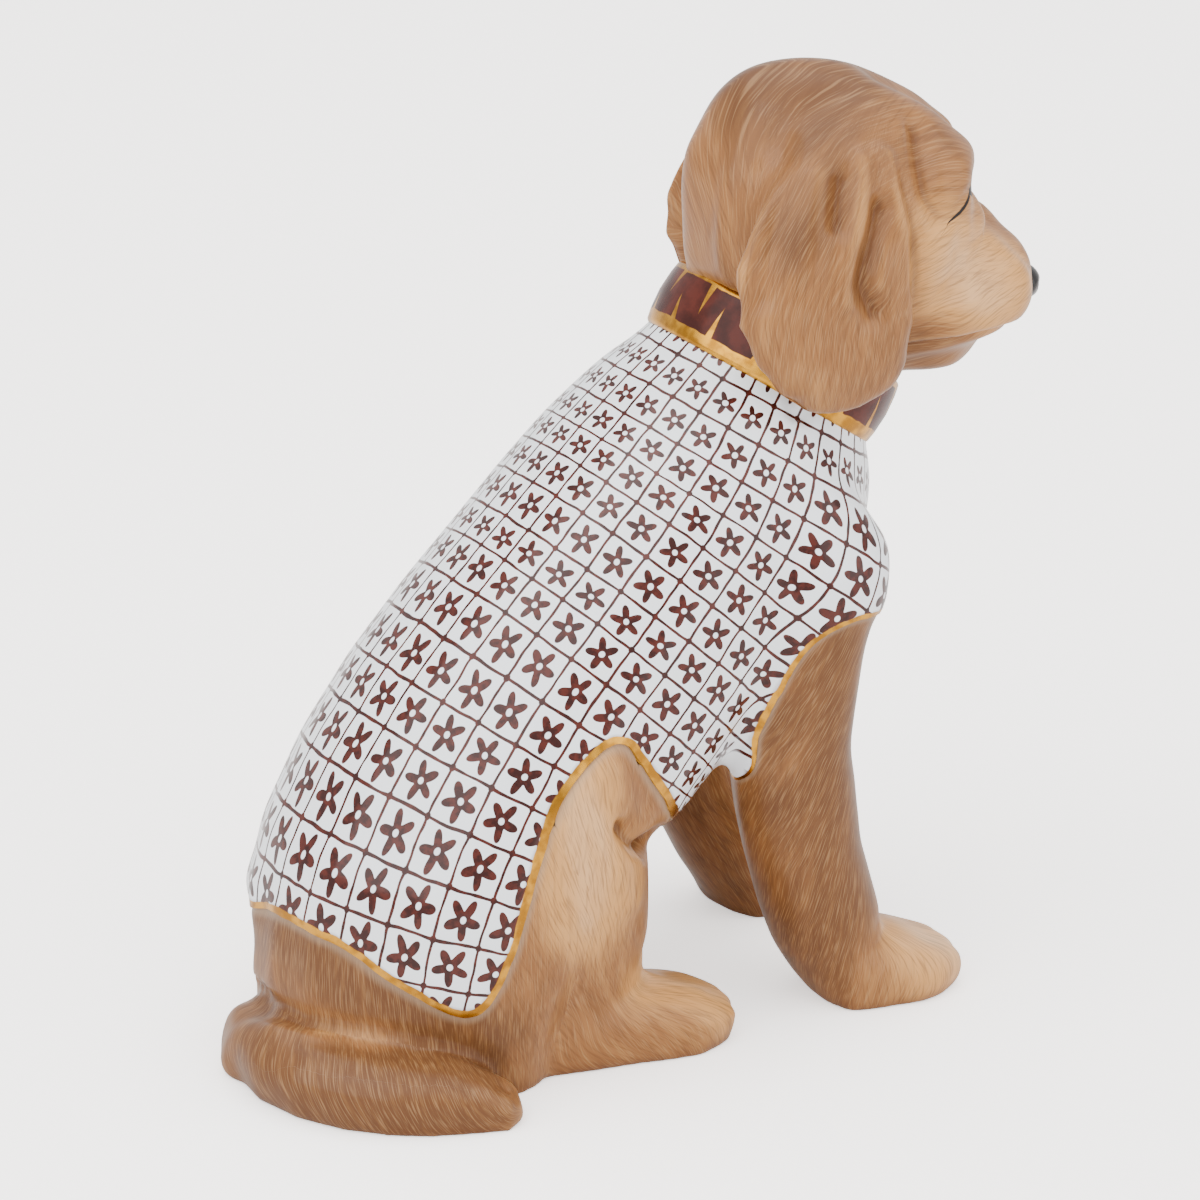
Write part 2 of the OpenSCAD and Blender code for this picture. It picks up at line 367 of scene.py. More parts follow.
@dataclass
class Nose:
    """The black nose, with nostrils and the groove below."""

    middle: Point = (0, 30.4, 78.7)
    half_width: float = 2.8
    half_depth: float = 2.2
    half_height: float = 2.1
    flare: float = 0.18
    taper: float = 0.16
    nostril_side: float = 1.25
    nostril_height: float = -0.15
    nostril_width: float = 0.55
    nostril_rise: float = 0.5
    nostril_depth: float = 0.75
    groove_width: float = 0.3
    groove_top: float = 0.3
    groove_depth: float = 0.3

    def shape(self, x: float, y: float, z: float) -> Point:
        """Give the nose's point for a point of a ball.

        Args:
            x: Across the ball.
            y: Back through the ball.
            z: Up the ball.

        Returns:
            Side, forward and height from the nose's middle, in mm.
        """
        side = x * self.half_width * (1 + self.flare * z - self.taper * z * z)
        ahead, up = -y * self.half_depth, z * self.half_height
        gap_side = (abs(side) - self.nostril_side) / self.nostril_width
        gap_up = (up - self.nostril_height) / self.nostril_rise
        hole = math.exp(-(gap_side**2 + gap_up**2))
        groove = math.exp(-((side / self.groove_width) ** 2)) * min(1, max(0, self.groove_top - z))
        if ahead > 0:
            ahead -= self.nostril_depth * hole + self.groove_depth * groove
        return side, ahead, up

    def build(self) -> bpy.types.Object:
        """Shape a ball into the nose.

        Returns:
            The nose's object.
        """
        bm = bmesh.new()
        bmesh.ops.create_uvsphere(bm, u_segments=64, v_segments=40, radius=1.0)
        for vert in bm.verts:
            local = [a + b for a, b in zip(self.shape(*vert.co), self.middle)]
            vert.co = Vector(HEAD.world([local])[0]) * MM
        bmesh.ops.recalc_face_normals(bm, faces=bm.faces)
        return add_piece("nose_tip", bm)


# Clay


@dataclass
class Clay:
    """The whole figure in one skin of fine quads, in mm, with the tools that model it."""

    voxel: float = 0.42
    plug_radius: float = 3.0
    plug_back: float = 8.0
    plug_height: float = 3.0
    plug_depth: float = 2.0
    reach: float = 6.0
    far: float = 50.0
    mesh: bpy.types.Mesh = field(init=False)
    co: np.ndarray = field(init=False)
    edges: np.ndarray = field(init=False)
    apart: dict[Part, np.ndarray] = field(init=False)

    def cast(self) -> None:
        """Fuse copies of the castings into one closed skin."""
        bm = bmesh.new()
        for part in Part:
            bm.from_mesh(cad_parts[part.value].data)
        plug = Matrix.Translation(Vector((0, self.plug_back, self.plug_height)) * MM)
        bmesh.ops.create_cone(bm, cap_ends=True, segments=24, radius1=self.plug_radius * MM,
                              radius2=self.plug_radius * MM, depth=self.plug_depth * MM, matrix=plug)
        bmesh.ops.remove_doubles(bm, verts=bm.verts, dist=1e-6)
        mesh = bpy.data.meshes.new("castings")
        bm.to_mesh(mesh)
        bm.free()
        lump = bpy.data.objects.new("castings", mesh)
        bpy.context.scene.collection.objects.link(lump)
        skin = lump.modifiers.new("skin", "REMESH")
        skin.mode = "VOXEL"
        skin.voxel_size = self.voxel * MM
        graph = bpy.context.evaluated_depsgraph_get()
        self.mesh = bpy.data.meshes.new_from_object(lump.evaluated_get(graph))
        bpy.data.objects.remove(lump)
        self._keep_outside()
        self.co = np.empty((len(self.mesh.vertices), 3))
        self.mesh.vertices.foreach_get("co", self.co.ravel())
        self.co /= MM
        self.edges = np.empty((len(self.mesh.edges), 2), int)
        self.mesh.edges.foreach_get("vertices", self.edges.ravel())
        self.apart = {part: self._distances(part) for part in Part}

    def _keep_outside(self) -> None:
        """Delete every shell but the one that the crown is on."""
        bm = bmesh.new()
        bm.from_mesh(self.mesh)
        crown = max(bm.verts, key=lambda v: v.co.z)
        outside, edge_of_search = {crown}, [crown]
        while edge_of_search:
            vert = edge_of_search.pop()
            for edge in vert.link_edges:
                other = edge.other_vert(vert)
                if other not in outside:
                    outside.add(other)
                    edge_of_search.append(other)
        bmesh.ops.delete(bm, geom=[v for v in bm.verts if v not in outside], context="VERTS")
        bm.to_mesh(self.mesh)
        bm.free()

    def _distances(self, part: Part) -> np.ndarray:
        """Measure each point's distance from one casting.

        Args:
            part: The casting.

        Returns:
            Distances in mm, with one large value past reach.
        """
        bm = bmesh.new()
        bm.from_mesh(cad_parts[part.value].data)
        tree = BVHTree.FromBMesh(bm)
        bm.free()
        low, high = (np.array(corner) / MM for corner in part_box(part.value))
        near = ((self.co > low - self.reach) & (self.co < high + self.reach)).all(1)
        gaps = np.full(len(self.co), self.far)
        for i in np.flatnonzero(near):
            gaps[i] = tree.find_nearest(self.co[i] * MM)[3] / MM
        return gaps

    def nearest(self, *parts: Part) -> np.ndarray:
        """Give each point's distance from the nearest of some castings."""
        return np.min([self.apart[part] for part in parts], axis=0)

    def inside(self, part: Part) -> np.ndarray:
        """Give how far each point is inside one piece's border, negative outside it."""
        return self.nearest(*[other for other in Part if other != part]) - self.apart[part]

    def spread(self, values: np.ndarray) -> np.ndarray:
        """Take the mean of the neighbours' values.

        Args:
            values: One number or vector for each point.

        Returns:
            The mean at each point.
        """
        a, b = self.edges.T
        n = len(self.co)
        count = np.bincount(a, minlength=n) + np.bincount(b, minlength=n)
        columns = values.reshape(n, -1).T
        total = [np.bincount(a, c[b], n) + np.bincount(b, c[a], n) for c in columns]
        return (np.stack(total, 1) / count[:, None]).reshape(values.shape)

    def relax(self, passes: int, weight: np.ndarray | float = 1.0) -> None:
        """Sponge the clay smooth, and fill what the sponge takes off the broad forms.

        Args:
            passes: How often the sponge goes over it.
            weight: How hard it presses at each point, from 0 to 1.
        """
        share = np.broadcast_to(0.5 * np.asarray(weight, float), len(self.co))[:, None]
        smooth = self.co.copy()
        for _ in range(passes):
            smooth += share * (self.spread(smooth) - smooth)
        loss = self.co - smooth
        for _ in range(passes):
            loss += share * (self.spread(loss) - loss)
        self.co = smooth + loss
        self.co[:, 2] = np.maximum(self.co[:, 2], 0)

    def blur(self, values: np.ndarray, passes: int) -> np.ndarray:
        """Even out one value over the skin.

        Args:
            values: The value at each point.
            passes: How often it is evened out.

        Returns:
            The even value at each point.
        """
        for _ in range(passes):
            values = self.spread(values)
        return values

    def normals(self) -> np.ndarray:
        """Work out the skin's outward directions where it is now.

        Returns:
            One direction for each point.
        """
        self.mesh.vertices.foreach_set("co", (self.co * MM).astype(np.float32).ravel())
        self.mesh.update()
        out = np.empty(len(self.co) * 3, np.float32)
        self.mesh.vertex_normals.foreach_get("vector", out)
        return out.reshape(-1, 3).astype(float)

    def trace(self, strokes: Iterable[Stroke]) -> np.ndarray:
        """Work out how much of some strokes each point gets.

        Args:
            strokes: The strokes, which add up where they cross.

        Returns:
            The rise at each point, in mm.
        """
        total = np.zeros(len(self.co))
        for stroke in strokes:
            run = smooth_run(stroke.seat.world(stroke.line), 6)
            margin = 3 * stroke.width
            near = ((self.co > run.min(0) - margin) & (self.co < run.max(0) + margin)).all(1)
            if stroke.parts:
                near &= self.nearest(*stroke.parts) < 1
            gap = distance_to_run(self.co[near], run)
            total[near] += stroke.rise * np.exp(-((gap / stroke.width) ** 2))
        return total

    def press(self, strokes: Iterable[Stroke]) -> None:
        """Work strokes into the clay, all square to the skin as it is now."""
        self.lift(self.trace(strokes))

    def score(self, part: Part, width: float, depth: float) -> None:
        """Cut a soft valley along one piece's border."""
        self.lift(-depth * np.exp(-((self.inside(part) / width) ** 2)))

    def lift(self, rise: np.ndarray) -> None:
        """Raise the skin square to itself, but never below the floor."""
        self.co += self.normals() * rise[:, None]
        self.co[:, 2] = np.maximum(self.co[:, 2], 0)

    def hollows(self) -> np.ndarray:
        """Give how hollow the skin is at each point, negative where it bulges."""
        lift = ((self.spread(self.co) - self.co) * self.normals()).sum(1) / self.voxel
        return self.blur(lift, 4)


@dataclass(frozen=True)
class Eye:
    """One painted eye: its middle, its way out and the tilt of its long axis."""

    middle: Point = (-7.9, 22.2, 93.1)
    outward: Point = (-3.0, -2.0, -0.3)
    upward: Point = (-0.3, -0.1, 1.0)
    reach: float = 9.0
    far: float = 99.0

    def chart(self, points: np.ndarray) -> np.ndarray:
        """Lay a flat chart over both eyes.

        Args:
            points: Coordinates in the frame, in mm.

        Returns:
            Outward and upward from the nearer eye's middle, and depth, in mm.
        """
        local = HEAD.local(points)
        local[:, 0] = -np.abs(local[:, 0])
        gap = local - np.array(self.middle)
        out = np.array(self.outward) / np.linalg.norm(self.outward)
        up = np.array(self.upward) - np.dot(self.upward, out) * out
        up /= np.linalg.norm(up)
        chart = np.stack([gap @ out, gap @ up, gap @ np.cross(out, up)], 1)
        chart[np.linalg.norm(gap, axis=1) > self.reach] = self.far
        return chart


@dataclass
class Figure:
    """The puppy's body: the clay with its modelling, and the pieces parted from it."""

    clay: Clay = field(default_factory=Clay)
    eye: Eye = field(default_factory=Eye)
    wall: float = 1.2
    coat_rise: float = 0.15
    fur_sink: float = 0.2
    sink_width: float = 0.6
    sponge_passes: int = 40
    soft_passes: int = 90
    muzzle_passes: int = 50
    sleeve_thinning: float = 0.5

    spine: tuple[Point, ...] = (
        (0, -1, -6), (0, 0, 8), (0, 4, 22), (0, 12, 35), (0, 22, 46), (0, 32, 57), (0, 40, 68), (0, 47, 79))
    foreleg_line: tuple[Point, ...] = (
        (-14, 37, 62), (-14.7, 38, 43), (-14.7, 38, 31), (-14.7, 39.5, 19), (-14.7, 43, 8), (-14.9, 47, -4))
    leg_slant: float = 18.0
    hind_leg_line: tuple[Point, ...] = (
        (-12, 6, 50), (-13.8, 7, 38), (-14, 8, 26), (-13.5, 9, 15),
        (-13.5, 12, 7), (-14.5, 18, 1), (-15, 22, -5))
    ear_line: tuple[Point, ...] = (
        (-3, 14, 106), (-6, 9.5, 97), (-8, 6, 90), (-8.5, 3.8, 83), (-8.5, 3.2, 76), (-8, 3.6, 67))
    head_line: tuple[Point, ...] = (
        (0, 33, 79), (0, 24, 83), (0, 15, 90), (0, 7, 90.5), (0, 1, 84), (0, -1, 76), (0, -1, 66))
    head_slant: float = 48.0
    rump_line: tuple[Point, ...] = ((0, 4, 40), (0, 1, 20), (0, 0, -4))
    rump_slant: float = 16.0
    tail_line: tuple[Point, ...] = (
        (10, -10, 3), (3, -17.5, 3), (-5, -19.5, 3), (-13, -16.5, 3), (-19.5, -11, 2.6), (-26, -4, 1.5))
    tail_slant: float = -52.0
    hem_dip: tuple[Point, ...] = ((8, -20, 18), (14, -15.5, 16))
    sleeve_tip: tuple[Point, ...] = ((-14.8, 28, 31.4), (-13.3, 27.2, 28.8))
    muzzle_side: tuple[Point, ...] = ((-6.5, 24, 89), (-8.5, 24.4, 86), (-9.5, 24.2, 83))
    root_height: float = 88.0
    blend_width: float = 3.5
    cheek_line: tuple[Point, ...] = (
        (-7, 23.5, 89.5), (-9.5, 22.5, 86.5), (-11.2, 21.5, 82.5), (-11.6, 20, 79))
    left_step: float = 3.5
    left_shift: float = -3.4

    def _forelegs(self, line: Sequence[Point]) -> tuple[Sequence[Point], Sequence[Point]]:
        """Give a line of the right foreleg and the same of the left one, which is no plain mirror image."""
        moved = [(side - self.left_shift, ahead + self.left_step, up) for side, ahead, up in line]
        return line, mirrored(moved)

    def grains(self) -> dict[Part, Grain]:
        """Lay out the way the brush runs.

        Returns:
            The grain of each piece.
        """
        right, left = self._forelegs(self.foreleg_line)
        return {
            Part.COAT: Grain(BODY, self.spine, (0, -0.8, 0.6)),
            Part.RUMP: Grain(BODY, self.rump_line, (0, -1, 0), 20, self.rump_slant, 0.1),
            Part.HEAD: Grain(HEAD, self.head_line, (0, 0.3, 1), 13, self.head_slant, 15),
            Part.EAR_LEFT: Grain(HEAD, mirrored(self.ear_line), (1, 0, 0.2), 11),
            Part.EAR_RIGHT: Grain(HEAD, self.ear_line, (-1, 0, 0.2), 11),
            Part.FORELEG_LEFT: Grain(BODY, left, (1, 0, 0), 7, self.leg_slant),
            Part.FORELEG_RIGHT: Grain(BODY, right, (-1, 0, 0), 7, -self.leg_slant),
            Part.HIND_LEG_LEFT: Grain(BODY, mirrored(self.hind_leg_line), (1, 0, 0), 8),
            Part.HIND_LEG_RIGHT: Grain(BODY, self.hind_leg_line, (-1, 0, 0), 8),
            Part.TAIL: Grain(BODY, self.tail_line, (0, 0, 1), 6, self.tail_slant),
        }

    def model(self) -> None:
        """Cast the clay, sponge it smooth and work its features in."""
        clay = self.clay
        clay.cast()
        clay.apart[Part.RUMP] += clay.trace([Stroke(BODY, self.hem_dip, 5, 2.4)])
        sleeves = self._forelegs(self.sleeve_tip)
        clay.apart[Part.COAT] -= clay.trace([Stroke(BODY, tip, 2.4, 2.6) for tip in sleeves])
        clay.apart[Part.COAT] += np.clip(4 * Collar().above(clay.co), 0, clay.far)
        above_floor = np.clip(0.15 + clay.co[:, 2] / 2.5, 0, 1)
        clay.relax(self.sponge_passes, above_floor)
        clay.relax(self.soft_passes, above_floor * self._soft())
        clay.press([*self.head_strokes(), *self.ear_strokes(), *self.body_strokes()])
        clay.score(Part.TAIL, 1.6, 0.7)
        clay.relax(4)
        muzzle = clay.trace(Stroke(HEAD, self.muzzle_side, 3.6, 1).both())
        clay.relax(self.muzzle_passes, np.clip(muzzle, 0, 1))
        clay.press(self.fine_strokes())
        clay.relax(2)
        LOG.info("clay: %d points", len(clay.co))

    def _soft(self) -> np.ndarray:
        """Find where the sponge smooths more: the coat, the flanks, the roots of the ears and the cheeks.

        Returns:
            How hard the sponge presses at each point, from 0 to 1.
        """
        clay = self.clay
        coat = np.clip(clay.inside(Part.COAT) / 3, 0, 1)
        thigh = clay.nearest(Part.HIND_LEG_LEFT, Part.HIND_LEG_RIGHT)
        flank = np.exp(-(((thigh - clay.nearest(Part.RUMP, Part.COAT)) / 5) ** 2))
        ear = clay.nearest(*EARS) - clay.apart[Part.HEAD]
        root = np.exp(-((ear / 4) ** 2)) * np.clip((clay.co[:, 2] - 92) / 6, 0, 1)
        cheek = clay.trace(Stroke(HEAD, self.cheek_line, 4.5, 1).both())
        return clay.blur(np.clip(np.max([coat, flank, root, cheek], axis=0), 0, 1), 6)

    def head_strokes(self) -> list[Stroke]:
        """Plan the broad modelling of the head: crest, brows, temples, eye sockets, bridge and cheeks.

        Returns:
            The strokes of both sides and of the middle.
        """
        head = (Part.HEAD,)
        temple = ((-8.3, 16, 100.5), (-10.5, 15.6, 98.5), (-12, 15.5, 96.3),
                  (-12.8, 15.6, 94), (-12.6, 16.6, 91.8))
        brow = ((-4, 22.6, 96), (-6.8, 21.8, 96.2), (-9.5, 19.8, 95.8))
        ear_gap = ((-13.6, 12.6, 96), (-14.4, 13.6, 91), (-14.6, 14.2, 86), (-13.6, 14.6, 81))
        pairs = (
            Stroke(HEAD, temple, 1.5, -1.5, head),
            Stroke(HEAD, brow, 2.4, 1.0, head),
            Stroke(HEAD, ((-4.8, 23.2, 92.6), (-7.8, 22.4, 93)), 1.6, -1.3, head),
            Stroke(HEAD, ((-13.2, 17, 88), (-12.6, 17.8, 84.5)), 2.6, 0.5, head),
            Stroke(HEAD, self.cheek_line, 2.2, 0.8, head),
            Stroke(HEAD, ((-6.6, 24.6, 88), (-7.8, 25.8, 85.4), (-8, 27.4, 82.4)), 3.0, 1.5, head),
            Stroke(HEAD, ((-12.2, 19.6, 89.5), (-12.4, 19.4, 86), (-12.4, 18.8, 83)), 2.0, -0.6, head),
            Stroke(HEAD, ((-7, 26.5, 79), (-9, 24, 78)), 3, 0.5, head),
            Stroke(HEAD, ((-9.5, 22.6, 89.8), (-9.8, 22.6, 87)), 1.6, -0.5, head),
            Stroke(HEAD, ((-6.5, -4.5, 96), (-7.6, -6, 90), (-8, -6.4, 84)), 1.1, 0.4, head),
            Stroke(HEAD, ((-5.5, 8, 104.4), (-7.5, 2, 102.5), (-8, -3, 98)), 1.5, -0.4, head),
            Stroke(HEAD, ear_gap, 0.9, -0.6, head),
        )
        middle = [
            Stroke(HEAD, ((0, -5, 99.6), (0, -1, 103), (0, 4, 105)), 6, 0.6, head),
            Stroke(HEAD, ((0, -5.4, 99), (0, -3.6, 101.4), (0, -1.5, 103)), 6, 0.9, head),
            Stroke(HEAD, ((-3, 0.5, 103.8), (3, 0.5, 103.8)), 6, 0.4, head),
            Stroke(HEAD, ((0, -4, 100.6), (0, 2, 104.2), (0, 9, 105)), 1.8, 0.2, head),
            Stroke(HEAD, ((0, 14, 104), (0, 19, 100.8), (0, 22.2, 96.5)), 2.4, -0.8, head),
            Stroke(HEAD, ((0, 22.4, 91), (0, 25, 88.8)), 3.2, 1.3, head),
            Stroke(HEAD, ((0, 26, 87.6), (0, 28, 85.6)), 2.6, 0.5, head),
            Stroke(HEAD, ((-2.5, 29.2, 82.5), (2.5, 29.2, 82.5)), 2.2, 0.7, head),
            Stroke(HEAD, ((-3, 30, 76.8), (3, 30, 76.8)), 2.0, -1.1, head),
            Stroke(HEAD, ((0, -6, 95), (0, -7.8, 90), (0, -8, 84), (0, -7.5, 79)), 3.2, 0.9, head),
        ]
        return on_both_sides(pairs) + middle

    def ear_strokes(self) -> list[Stroke]:
        """Plan the folds of the ears: the rolled front edge, the valleys beside it and the rear ridge.

        Returns:
            The strokes of both ears.
        """
        ears = (*EARS, Part.HEAD)
        front = ((-12.3, 10.8, 98.8), (-14.6, 11.4, 95), (-15.7, 12.1, 90.5),
                 (-16.2, 12.5, 86), (-15.6, 12.6, 81))
        valley = ((-15.9, 9.6, 94), (-17, 8.6, 91), (-17.8, 7.5, 88.4), (-18.3, 7.1, 85.8), (-18.2, 8.4, 83))
        middle = ((-14, 7.8, 99), (-16.2, 7.2, 95.2), (-17.8, 5.6, 89.5), (-18.6, 4.9, 84.8))
        rear_dip = ((-9.8, 0.2, 99.4), (-14.2, -1.5, 96), (-16.3, -3.2, 90.5), (-17.2, -4.2, 85.5))
        rear = ((-13, -1.2, 98), (-15.2, -4.6, 93), (-16.5, -6.2, 87.5), (-16.6, -6.4, 82))
        low_edge = ((-16, -7, 84), (-16.2, -5.6, 77), (-16, -1, 71.5), (-15.6, 4, 69))
        pairs = (
            Stroke(HEAD, front, 1.2, 0.8, ears),
            Stroke(HEAD, valley, 1.35, -1.6, ears),
            Stroke(HEAD, middle, 1.5, 0.7, ears),
            Stroke(HEAD, ((-15.2, 5.2, 97.2), (-16.3, 4.6, 95), (-17, 4.3, 92.8)), 1.3, -1.2, ears),
            Stroke(HEAD, ((-14.6, 2.6, 97.8), (-16.6, 1.9, 93), (-17.8, 1, 88)), 1.6, 0.5, ears),
            Stroke(HEAD, rear_dip, 1.6, -0.7, ears),
            Stroke(HEAD, rear, 1.3, 0.6, ears),
            Stroke(HEAD, ((-18.4, 1, 84), (-18.4, 2.5, 77)), 3, 0.4, ears),
            Stroke(HEAD, low_edge, 2.2, -1.0, EARS),
            Stroke(HEAD, ((-15.8, 13.4, 89), (-16.2, 13.7, 84), (-16, 13.4, 78)), 1.4, -0.4, EARS),
            Stroke(HEAD, ((-17.3, -3.6, 75.2), (-17.3, -0.6, 72.6)), 2.4, -0.9, EARS),
        )
        left = Stroke(HEAD, ((14.3, -5, 92), (14.6, -5, 88)), 2, -0.7, EARS)
        return on_both_sides(pairs) + [left]

    def body_strokes(self) -> list[Stroke]:
        """Plan the modelling of the legs and the tail.

        Returns:
            The strokes of both sides, of the tail, of the seat and of the right foreleg.
        """
        flank = ((-22.4, 10.3, 30.2), (-22, 11.3, 28.7), (-21.2, 12.8, 27.3),
                 (-18, 15.6, 26.5), (-14, 16.5, 26.5))
        pairs = (
            Stroke(BODY, flank, 1.2, -1.5),
            Stroke(BODY, ((-22.8, 7.5, 34), (-22.4, 10.3, 30.2)), 2.0, -0.7),
            Stroke(BODY, ((-19.4, 15, 26.2), (-14, 16.6, 26.2)), 1.4, -1.1),
            Stroke(BODY, ((-20.4, 14.6, 29.8), (-18, 17.4, 29)), 1.8, 0.7),
            Stroke(BODY, ((-21.4, 9.5, 25), (-20.8, 11, 21)), 2, 0.6),
            Stroke(BODY, ((-16.5, 16.6, 12.5), (-18.8, 16.2, 10.5), (-20.5, 15, 9)), 1.4, -0.5),
            Stroke(BODY, ((-14.6, 17.6, 8), (-16.7, 19, 7.3), (-18, 21.5, 6.2)), 1.6, 0.4),
        )
        ridge = ((-4, -23.6, 7), (-10, -20, 8.2), (-14.5, -15.6, 8.4), (-17.4, -11.8, 7.6), (-19.6, -8.6, 6))
        tail = [
            Stroke(BODY, ridge, 1.3, 0.5, (Part.TAIL,)),
            Stroke(BODY, ((-3, -25, 3.6), (-11, -24, 3.4), (-18, -18.5, 3.2)), 2.0, 0.3, (Part.TAIL,)),
            Stroke(BODY, ((-24, -5.8, 4.4), (-25.6, -4, 4)), 1.8, -1.3, (Part.TAIL,)),
            Stroke(BODY, ((-25, -5, 1.2), (-26, -4, 1)), 1.6, 0.9, (Part.TAIL,)),
            Stroke(BODY, ((2, -25, 2.4), (8, -21.5, 2.4)), 2.5, 0.9, (Part.TAIL,)),
            Stroke(BODY, ((2, -26, 0.8), (8, -22.6, 0.8)), 2.0, 0.7, (Part.TAIL,)),
            Stroke(BODY, ((2, -23, 7.5), (8, -19, 7.5)), 3, -1.0, (Part.TAIL,)),
            Stroke(BODY, ((10, -19, 12.4), (12.5, -16.5, 9)), 3, -1.3),
            Stroke(BODY, ((8, -21, 18.6), (13.5, -17, 17)), 3, 0.7),
            Stroke(BODY, ((-22, 50, 2.4), (-20.4, 54.6, 2.4)), 2.4, 0.7, (Part.FORELEG_RIGHT,)),
            Stroke(BODY, ((-12, 53.5, 7.6), (-18, 53.5, 6.6)), 4, -0.8, (Part.FORELEG_RIGHT,)),
            Stroke(BODY, ((-19, 45.6, 43), (-18.6, 45.2, 38), (-18, 44.6, 34)), 5.5, -1.1),
        ]
        return on_both_sides(pairs) + tail

    def washes_and_shading(self) -> list[Stroke]:
        """Plan the pale and dark washes under the strokes of the fur.

        Returns:
            Strokes that rise where the fur is paler or a highlight is painted, and sink where it is darker or
            shade is painted.
        """
        leg = [(side - 3, ahead, up) for side, ahead, up in self.foreleg_line[1:5]]
        # These strokes are partly the fur's own lighter and darker paint, and partly painted light and shade.
        pairs = (
            Stroke(HEAD, ((-9.5, 24, 81.5), (-12.3, 18, 86)), 5.5, 2.3),
            Stroke(HEAD, ((-7, 25.5, 88), (-5, 28.5, 84)), 3, 0.5),
            Stroke(HEAD, ((-11.5, -5, 92), (-13, -5, 86)), 2.5, 0.5),
            Stroke(HEAD, ((-11, 4, 101), (-14, 3.5, 97), (-16.5, 0, 91)), 3.6, -0.9),
            Stroke(HEAD, ((-4, 20, 101), (-8, 18.5, 99)), 2.6, -0.7),
            # painted shade: darker in the dip of the crown, under the corner of the lip and in the ear's
            # valley
            Stroke(HEAD, ((-3, -1, 103), (-4, 7, 104.5)), 5, -0.9),
            Stroke(HEAD, ((-10, 21, 77), (-11, 16, 77.5)), 1.8, -0.8),
            Stroke(HEAD, ((-17.4, 7.4, 89), (-18, 7, 85)), 1.6, -0.7),
            # pale on the thigh and on the hind foot: partly the fur's lighter paint, partly painted light
            Stroke(BODY, ((-21, 4, 37), (-22, 5, 30), (-21.5, 6.5, 21)), 5.5, 2.0),
            Stroke(BODY, ((-15.5, 17, 8), (-18, 24, 5)), 5, 2.0),
            Stroke(BODY, leg, 9, -1.2),
            # painted shade in the valley between the rump and the tail
            Stroke(BODY, ((-3, -22, 17), (-10, -19, 15.5), (-16, -13, 13), (-20, -6, 8)), 5, -1.0),
        )
        tail = [
            # darker under the tail, which is painted shade; the last of these three is a painted highlight on
            # the tail's ridge
            Stroke(BODY, ((0, -23, 4), (-9, -23, 3.5), (-17, -18, 3), (-23, -10, 2.5)), 6, -0.8),
            Stroke(BODY, ((-6, -26, 3), (-15, -21.5, 2.5), (-20, -16, 2)), 3.6, -1.8),
            Stroke(BODY, ((-9, -20, 8), (-14, -16, 8.4)), 1.8, 1.4),
        ]
        toes = ((-18, 49, 6), (-18.5, 54, 5))
        sole = ((-20, 46, 4), (-21, 50, 4), (-20, 54.6, 4))
        paws = [Stroke(BODY, line, 5.5, 2.4) for line in self._forelegs(toes)]
        paws += [Stroke(BODY, line, 5, 1.1) for line in self._forelegs(sole)]
        return on_both_sides(pairs) + tail + paws

    def fine_strokes(self) -> list[Stroke]:
        """Plan the fine modelling: eyes and lids, mouth, toes and the locks of the tail.

        Returns:
            The strokes, all narrow.
        """
        head = (Part.HEAD,)
        mouth = ((0, 30.3, 76.6), (-4, 28.8, 76), (-7.5, 26.3, 76.3), (-9.3, 23.6, 76.2), (-10.7, 20.2, 76.1),
                 (-11.2, 16.7, 76), (-11, 14, 75.8))
        pairs = (
            Stroke(HEAD, ((-7, 22.6, 93), (-8, 22.2, 93)), 1.7, 0.5, head),
            Stroke(HEAD, ((-10.2, 20.9, 93.4), (-11.8, 19.7, 92.6), (-13, 18, 91.2)), 0.6, -0.3, head),
            Stroke(HEAD, mouth, 0.75, -0.8, head),
            Stroke(HEAD, [(side, ahead, up + 1.5) for side, ahead, up in mouth], 0.9, 0.3, head),
        )
        middle = [Stroke(HEAD, ((0, 31.2, 77.5), (0, 30.4, 75.8)), 0.6, -0.4, head)]
        for hand, paw_side, paw_ahead in ((-1, -15.4, 0), (1, 12.2, self.left_step)):
            for gap in (-3.6, 0, 3.6):
                side = paw_side + gap
                line = [(side, ahead + paw_ahead, up) for ahead, up in ((57, 4.2), (57.6, 2.8), (57.7, 0.8))]
                middle.append(Stroke(BODY, line, 0.75, -0.55))
            for gap in (-2.6, 0, 2.6):
                side = hand * 16.2 + gap
                line = [(side, ahead, up) for ahead, up in ((26.8, 3.8), (27.3, 2.4), (27.3, 0.8))]
                middle.append(Stroke(BODY, line, 0.65, -0.4))
        upper_lock = ((-2, -24, 6), (-9, -22.5, 6.6), (-15.5, -17.5, 6.6), (-20, -12, 5))
        lower_lock = ((-6, -24.5, 3), (-14, -22.2, 2.6), (-21, -15.5, 2))
        middle.append(Stroke(BODY, upper_lock, 0.8, -0.35, (Part.TAIL,)))
        middle.append(Stroke(BODY, lower_lock, 0.8, -0.3, (Part.TAIL,)))
        return on_both_sides(pairs) + middle

    def part(self) -> dict[Part, bpy.types.Object]:
        """Part the clay at the luting joints.

        Returns:
            One closed piece for each part.
        """
        clay = self.clay
        sleeves = self._forelegs(self.sleeve_tip)
        maps = {
            "hem": self._hem(),
            "hollow": clay.hollows(),
            "wash_and_shading": clay.trace(self.washes_and_shading()),
            "blend": self._blend(),
            "plain": clay.trace([Stroke(BODY, tip, 2.6, 1.4) for tip in sleeves]),
        }
        maps |= {"in_" + part.value: clay.blur(clay.inside(part), 2) for part in Part}
        maps |= {"home": clay.co * MM, "out": clay.normals(), "eye": self.eye.chart(clay.co)}
        for name, values in maps.items():
            add_map(clay.mesh, name, values)
        bm = bmesh.new()
        bm.from_mesh(clay.mesh)
        for part in Part:
            self._slit(bm, "in_" + part.value)
        pieces = {part: self._lift(bm, part) for part in Part}
        bm.free()
        return pieces

